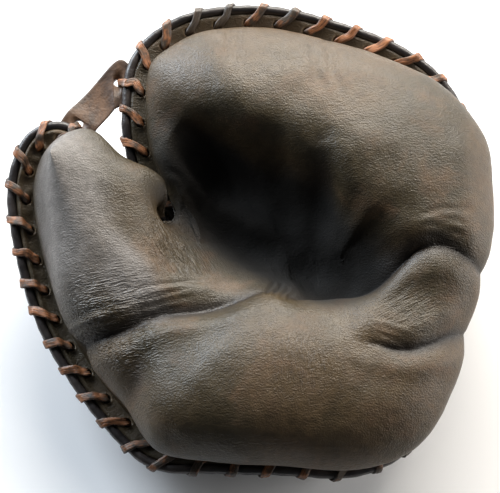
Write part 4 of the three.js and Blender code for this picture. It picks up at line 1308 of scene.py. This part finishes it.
# Colours of the leathers and the lace, as linear red, green and blue
COLOURS = {
    "palm_dark": (0.039, 0.0285, 0.0135),
    "palm_brown": (0.068, 0.0435, 0.0205),
    "palm_rust": (0.098, 0.054, 0.025),
    "palm_stain": (0.024, 0.018, 0.009),
    "palm_margin": (0.050, 0.037, 0.022),
    # Painted shade in the folds, wrinkles and hollows
    "palm_hollow_shade": (0.014, 0.010, 0.008),
    # Painted shade in the creases
    "palm_crease_shade": (0.010, 0.007, 0.006),
    # Painted sheen on the thumb, pale and grey
    "palm_painted_sheen": (0.15, 0.137, 0.128),
    # Painted shade in the pocket, nearly black
    "palm_painted_shade": (0.004, 0.003, 0.002),
    "palm_mottle": (0.12, 0.10, 0.08),
    "palm_worn": (0.16, 0.115, 0.07),
    "back_dark": (0.024, 0.017, 0.013),
    "back_light": (0.06, 0.036, 0.024),
    "welt_dark": (0.011, 0.009, 0.009),
    "welt_light": (0.03, 0.022, 0.02),
    "plain_mottle": (0.15, 0.12, 0.1),
    "lace_dull": (0.045, 0.030, 0.018),
    "lace_copper": (0.30, 0.115, 0.042),
    "lace_fibre": (0.22, 0.17, 0.13),
    "lace_edge": (0.026, 0.016, 0.010),
    "strap_dark": (0.040, 0.020, 0.010),
    "strap_light": (0.115, 0.058, 0.028),
    "strap_mottle": (0.25, 0.16, 0.1),
    "strap_edge": (0.05, 0.026, 0.017),
    "floor": (0.92, 0.92, 0.93),
    "world": (0.9, 0.95, 1.0),
}


def paint(name):
    return (*COLOURS[name], 1.0)


class Look:
    """A material and short ways to add nodes to its shader."""

    def __init__(self, name):
        self.material = bpy.data.materials.new(name)
        self.material.use_nodes = True
        self.tree = self.material.node_tree
        self.shader = self.tree.nodes["Principled BSDF"]
        self.colour = None
        self.normal = None

    def add(self, kind, values, **properties):
        """A shader node with its settings, its values and its links from other outputs."""
        node = self.tree.nodes.new("ShaderNode" + kind)
        for key, value in properties.items():
            setattr(node, key, value)
        for key, value in values.items():
            if isinstance(value, bpy.types.NodeSocket):
                self.tree.links.new(value, node.inputs[key])
            else:
                node.inputs[key].default_value = value
        return node

    def coords(self):
        return self.add("TexCoord", {}).outputs["Object"]

    def attribute(self, name):
        return self.add("Attribute", {}, attribute_name=name).outputs["Fac"]

    def noise(self, vector, scale, detail=4.0, roughness=0.55, distortion=0.0):
        values = {
            "Vector": vector,
            "Scale": scale,
            "Detail": detail,
            "Roughness": roughness,
            "Distortion": distortion,
        }
        return self.add("TexNoise", values).outputs[0]

    def ranged(self, value, low, high, out_low=0.0, out_high=1.0):
        values = {"Value": value, "From Min": low, "From Max": high}
        values.update({"To Min": out_low, "To Max": out_high})
        return self.add("MapRange", values, interpolation_type="SMOOTHSTEP").outputs[0]

    def maths(self, operation, a, b=0.0):
        return self.add("Math", {0: a, 1: b}, operation=operation).outputs[0]

    def times(self, a, b):
        return self.maths("MULTIPLY", a, b)

    def scaled(self, vector, scale):
        return self.add("Mapping", {"Vector": vector, "Scale": scale}).outputs[0]

    def stretched(self, vector, angle, along, across):
        """Coordinates turned about the vertical and divided by a grain's length and width."""
        turned = self.add("Mapping", {"Vector": vector, "Rotation": (0, 0, math.radians(-angle))})
        return self.scaled(turned.outputs[0], (1 / along, 1 / across, 1 / across))

    def between(self, factor, first, second):
        """Starts the colour as a mix of two named colours."""
        self.colour = paint(first)
        self.layer(factor, second)

    def layer(self, factor, name, blend="MIX"):
        """Lays a named colour over the colour so far."""
        values = {0: factor, 6: self.colour, 7: paint(name)}
        self.colour = self.add("Mix", values, data_type="RGBA", blend_type=blend).outputs[2]

    def press(self, height, distance, strength):
        """Adds a height to the surface relief."""
        values = {"Height": height, "Distance": distance, "Strength": strength}
        if self.normal is not None:
            values["Normal"] = self.normal
        self.normal = self.add("Bump", values).outputs[0]

    def grain(self, coords, scale, distance, strength):
        """Adds the small cells of leather grain to the surface relief."""
        cells = self.add("TexVoronoi", {"Vector": coords, "Scale": scale}, feature="SMOOTH_F1")
        self.press(cells.outputs["Distance"], distance, strength)

    def finished(self, roughness):
        """The material, with its colour, relief and roughness joined to the shader."""
        self.tree.links.new(self.colour, self.shader.inputs["Base Color"])
        self.tree.links.new(self.normal, self.shader.inputs["Normal"])
        if isinstance(roughness, bpy.types.NodeSocket):
            self.tree.links.new(roughness, self.shader.inputs["Roughness"])
        else:
            self.shader.inputs["Roughness"].default_value = roughness
        return self.material


# Fine wrinkles of the palm leather: middle in metres, radius, direction in degrees and strength
FINE_WRINKLES = (
    (0.028, -0.083, 0.034, 92, 1.0),
    (-0.035, -0.01, 0.03, 120, 1.3),
    (-0.07, -0.055, 0.042, 12, 1.2),
    (0.085, -0.055, 0.03, 30, 1.0),
    (0.11, -0.018, 0.026, 165, 0.8),
    (0.07, -0.075, 0.024, 160, 0.8),
)
WRINKLE_LEVEL = 0.06
WRINKLE_LENGTH = 0.012
WRINKLE_SPACING = 0.0016


def fine_wrinkles(look, coords):
    """Height of fine parallel wrinkles in a few places of the palm."""
    total = None
    for x, y, radius, angle, strength in FINE_WRINKLES:
        middle = (x, y, WRINKLE_LEVEL)
        offset = look.add("VectorMath", {0: coords, 1: middle}, operation="DISTANCE")
        mask = look.ranged(offset.outputs["Value"], radius, radius * 0.25)
        drawn_out = look.stretched(coords, angle, WRINKLE_LENGTH, WRINKLE_SPACING)
        lines = look.noise(drawn_out, 1.0, 2.0, 0.5, 0.25)
        ridged = look.maths("ABSOLUTE", look.maths("SUBTRACT", lines, 0.5))
        part = look.times(look.times(ridged, mask), strength)
        total = part if total is None else look.maths("ADD", total, part)
    return total


def palm_material():
    """Dark oiled leather, rusty in patches, with painted shade that blackens its creases, hollows and
    pocket, and a painted sheen that makes the thumb paler and greyer.
    """
    look = Look("palm_leather_look")
    coords = look.coords()
    painted_shade = look.attribute("pocket")
    broad = look.noise(coords, 13, 3, 0.5, 0.4)
    patches = look.noise(coords, 34, 6, 0.62, 0.5)
    mottle = look.noise(coords, 230, 5, 0.65)
    look.between(look.ranged(broad, 0.4, 0.62), "palm_dark", "palm_brown")
    look.layer(look.ranged(patches, 0.5, 0.72, 0, 0.7), "palm_rust")
    look.layer(look.ranged(patches, 0.46, 0.28, 0, 0.6), "palm_stain")
    look.layer(look.times(look.attribute("margin"), 0.5), "palm_margin")
    # Painted shade in the folds, wrinkles and hollows
    look.layer(look.ranged(look.attribute("hollow"), 0.1, 0.7, 0, 0.75), "palm_hollow_shade")
    # Painted shade along the creases
    look.layer(look.times(look.attribute("crease"), 0.7), "palm_crease_shade")
    # Painted sheen: the thumb paler and greyer, as if lit by a reflection
    painted_sheen = look.times(look.attribute("painted_sheen"), look.ranged(patches, 0.2, 0.6, 0.5, 0.9))
    look.layer(painted_sheen, "palm_painted_sheen")
    # Painted shade, nearly black, in the pocket, and the lobe's painted shadow over the right crease
    look.layer(look.times(painted_shade, 0.95), "palm_painted_shade")
    look.layer(look.ranged(mottle, 0.3, 0.7, 0, 0.35), "palm_mottle", "MULTIPLY")
    look.layer(look.times(look.attribute("worn"), 0.55), "palm_worn")
    look.press(look.noise(coords, 105, 5, 0.6, 0.5), 0.0009, 0.34)
    look.press(fine_wrinkles(look, coords), 0.0022, 1.0)
    look.press(look.noise(look.stretched(coords, 0, 0.0028, 0.0011), 1.0, 4, 0.65), 0.0005, 0.6)
    look.grain(coords, 1300, 0.00028, 0.7)
    look.shader.inputs["Specular IOR Level"].default_value = 0.38
    polish = look.ranged(patches, 0.3, 0.7, 0.36, 0.5)
    return look.finished(look.maths("ADD", polish, look.times(painted_shade, 0.45)))


def plain_leather(name, dark, light, roughness):
    """Plain old leather between two colours, for the back and the welt."""
    look = Look(name)
    coords = look.coords()
    patches = look.noise(coords, 40, 6, 0.6, 0.4)
    mottle = look.noise(coords, 260, 4, 0.6)
    look.between(look.ranged(patches, 0.36, 0.66), dark, light)
    look.layer(look.ranged(mottle, 0.35, 0.7, 0, 0.4), "plain_mottle", "MULTIPLY")
    look.press(look.noise(coords, 130, 4, 0.6, 0.5), 0.0007, 0.4)
    look.grain(coords, 900, 0.00025, 0.45)
    return look.finished(look.ranged(patches, 0.3, 0.7, roughness - 0.07, roughness + 0.08))


def lace_material():
    """Rawhide: copper where it is bright and dull brown where it is dirty, with long fibres."""
    look = Look("lace_look")
    tone = look.attribute("tone")
    side = look.attribute("side")
    place = look.add("CombineXYZ", {0: look.attribute("run"), 1: side, 2: tone}).outputs[0]
    fibres = look.noise(look.scaled(place, (0.18, 3.2, 3)), 1.0, 4)
    stains = look.noise(look.scaled(place, (0.2, 0.5, 2)), 1.0, 3)
    bright = look.maths("ADD", tone, look.ranged(stains, 0.3, 0.7, -0.45, 0.3))
    look.between(look.ranged(bright, 0.1, 0.95), "lace_dull", "lace_copper")
    look.layer(look.ranged(fibres, 0.56, 0.36, 0, 0.8), "lace_fibre", "MULTIPLY")
    edges = look.maths("POWER", look.maths("ABSOLUTE", side), 5.0)
    look.layer(look.times(edges, 0.7), "lace_edge")
    look.press(fibres, 0.0006, 0.7)
    return look.finished(0.46)


def strap_material():
    """Copper brown leather, darker at its edges."""
    look = Look("strap_look")
    coords = look.coords()
    patches = look.noise(coords, 60, 6, 0.65, 0.6)
    mottle = look.noise(coords, 300, 4, 0.6)
    look.between(look.ranged(patches, 0.36, 0.64), "strap_dark", "strap_light")
    look.layer(look.ranged(mottle, 0.4, 0.7, 0, 0.35), "strap_mottle", "MULTIPLY")
    look.layer(look.times(look.attribute("edge"), 0.6), "strap_edge")
    look.press(look.noise(coords, 160, 4, 0.6, 0.5), 0.0008, 0.4)
    look.grain(coords, 800, 0.00025, 0.4)
    return look.finished(0.5)


# Stage

FLOOR_REACH = 2.5
FLOOR_GAP = 0.0004
FLOOR_ROUGHNESS = 0.9
WORLD_STRENGTH = 0.07
LIGHT_TARGET = (0, 0, 0.05)


def make_floor():
    mesh = bpy.data.meshes.new("floor")
    corners = [(FLOOR_REACH * x, FLOOR_REACH * y, 0) for x, y in ((-1, -1), (1, -1), (1, 1), (-1, 1))]
    mesh.from_pydata(corners, [], [(0, 1, 2, 3)])
    floor = bpy.data.objects.new("floor", mesh)
    bpy.context.scene.collection.objects.link(floor)
    look = Look("floor_look")
    look.shader.inputs["Base Color"].default_value = paint("floor")
    look.shader.inputs["Roughness"].default_value = FLOOR_ROUGHNESS
    mesh.materials.append(look.material)
    floor.location.z = -FLOOR_GAP


def aim(thing, place, target):
    """Puts a light or camera at a place and turns it to a target."""
    back = unit(np.array(place, float) - np.array(target, float))
    side = unit(np.cross([0, 0, 1.0], back))
    up = np.cross(back, side)
    rows = [[side[i], up[i], back[i], place[i]] for i in range(3)]
    thing.matrix_world = Matrix([*rows, [0, 0, 0, 1]])


# Lights: place and size in metres, power in watts and colour
LIGHT_ROWS = {
    "window": ((0.3, 1.15, 0.72), (1.5, 0.6), 54, (1.0, 0.95, 0.87)),
    "sky": ((-0.9, 0.9, 0.6), (0.7, 0.5), 34, (0.82, 0.91, 1.0)),
    "wall": ((1.2, 0.1, 0.4), (0.9, 0.5), 12, (1.0, 0.97, 0.93)),
}


def make_light(name, place, size, power, colour):
    light = bpy.data.lights.new(name, "AREA")
    light.shape = "RECTANGLE"
    light.size, light.size_y = size
    light.energy = power
    light.color = colour
    lamp = bpy.data.objects.new(name, light)
    bpy.context.scene.collection.objects.link(lamp)
    aim(lamp, place, LIGHT_TARGET)
    return lamp


# Camera: its target in millimetres from the rim's centre, its distance in metres, its elevation in
# degrees, and its lens and sensor in millimetres
CAMERA_TARGET = (SHIFT + np.array([1.35, -5.45, 45])) * MM
CAMERA_DISTANCE = 0.9
CAMERA_ELEVATION = 70
CAMERA_LENS = 116.4
CAMERA_SENSOR = 36


def make_camera():
    camera = bpy.data.cameras.new("camera")
    camera.lens = CAMERA_LENS
    camera.sensor_width = CAMERA_SENSOR
    view = bpy.data.objects.new("camera", camera)
    bpy.context.scene.collection.objects.link(view)
    rise = math.radians(CAMERA_ELEVATION)
    back = np.array([0, -math.cos(rise), math.sin(rise)])
    aim(view, CAMERA_TARGET + back * CAMERA_DISTANCE, CAMERA_TARGET)
    bpy.context.scene.camera = view


def make_world():
    world = bpy.data.worlds.new("studio")
    bpy.context.scene.world = world
    world.use_nodes = True
    background = world.node_tree.nodes["Background"]
    background.inputs["Color"].default_value = paint("world")
    background.inputs["Strength"].default_value = WORLD_STRENGTH


# Plain contrast, as in a photograph, so that dark leather stays dark beside a white floor
bpy.context.scene.view_settings.view_transform = "Standard"
make_camera()
make_world()
make_floor()
for light_name, light_row in LIGHT_ROWS.items():
    make_light(light_name, *light_row)

lace_leather = lace_material()
made = [
    make_palm(palm_material()),
    make_back(plain_leather("back_leather_look", "back_dark", "back_light", 0.5)),
    make_welt(plain_leather("welt_leather_look", "welt_dark", "welt_light", 0.38)),
    make_strap(strap_material()),
    *[make_lace(strand[0], lace_leather) for strand in STRANDS],
]
for piece in made:
    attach(piece, "root")
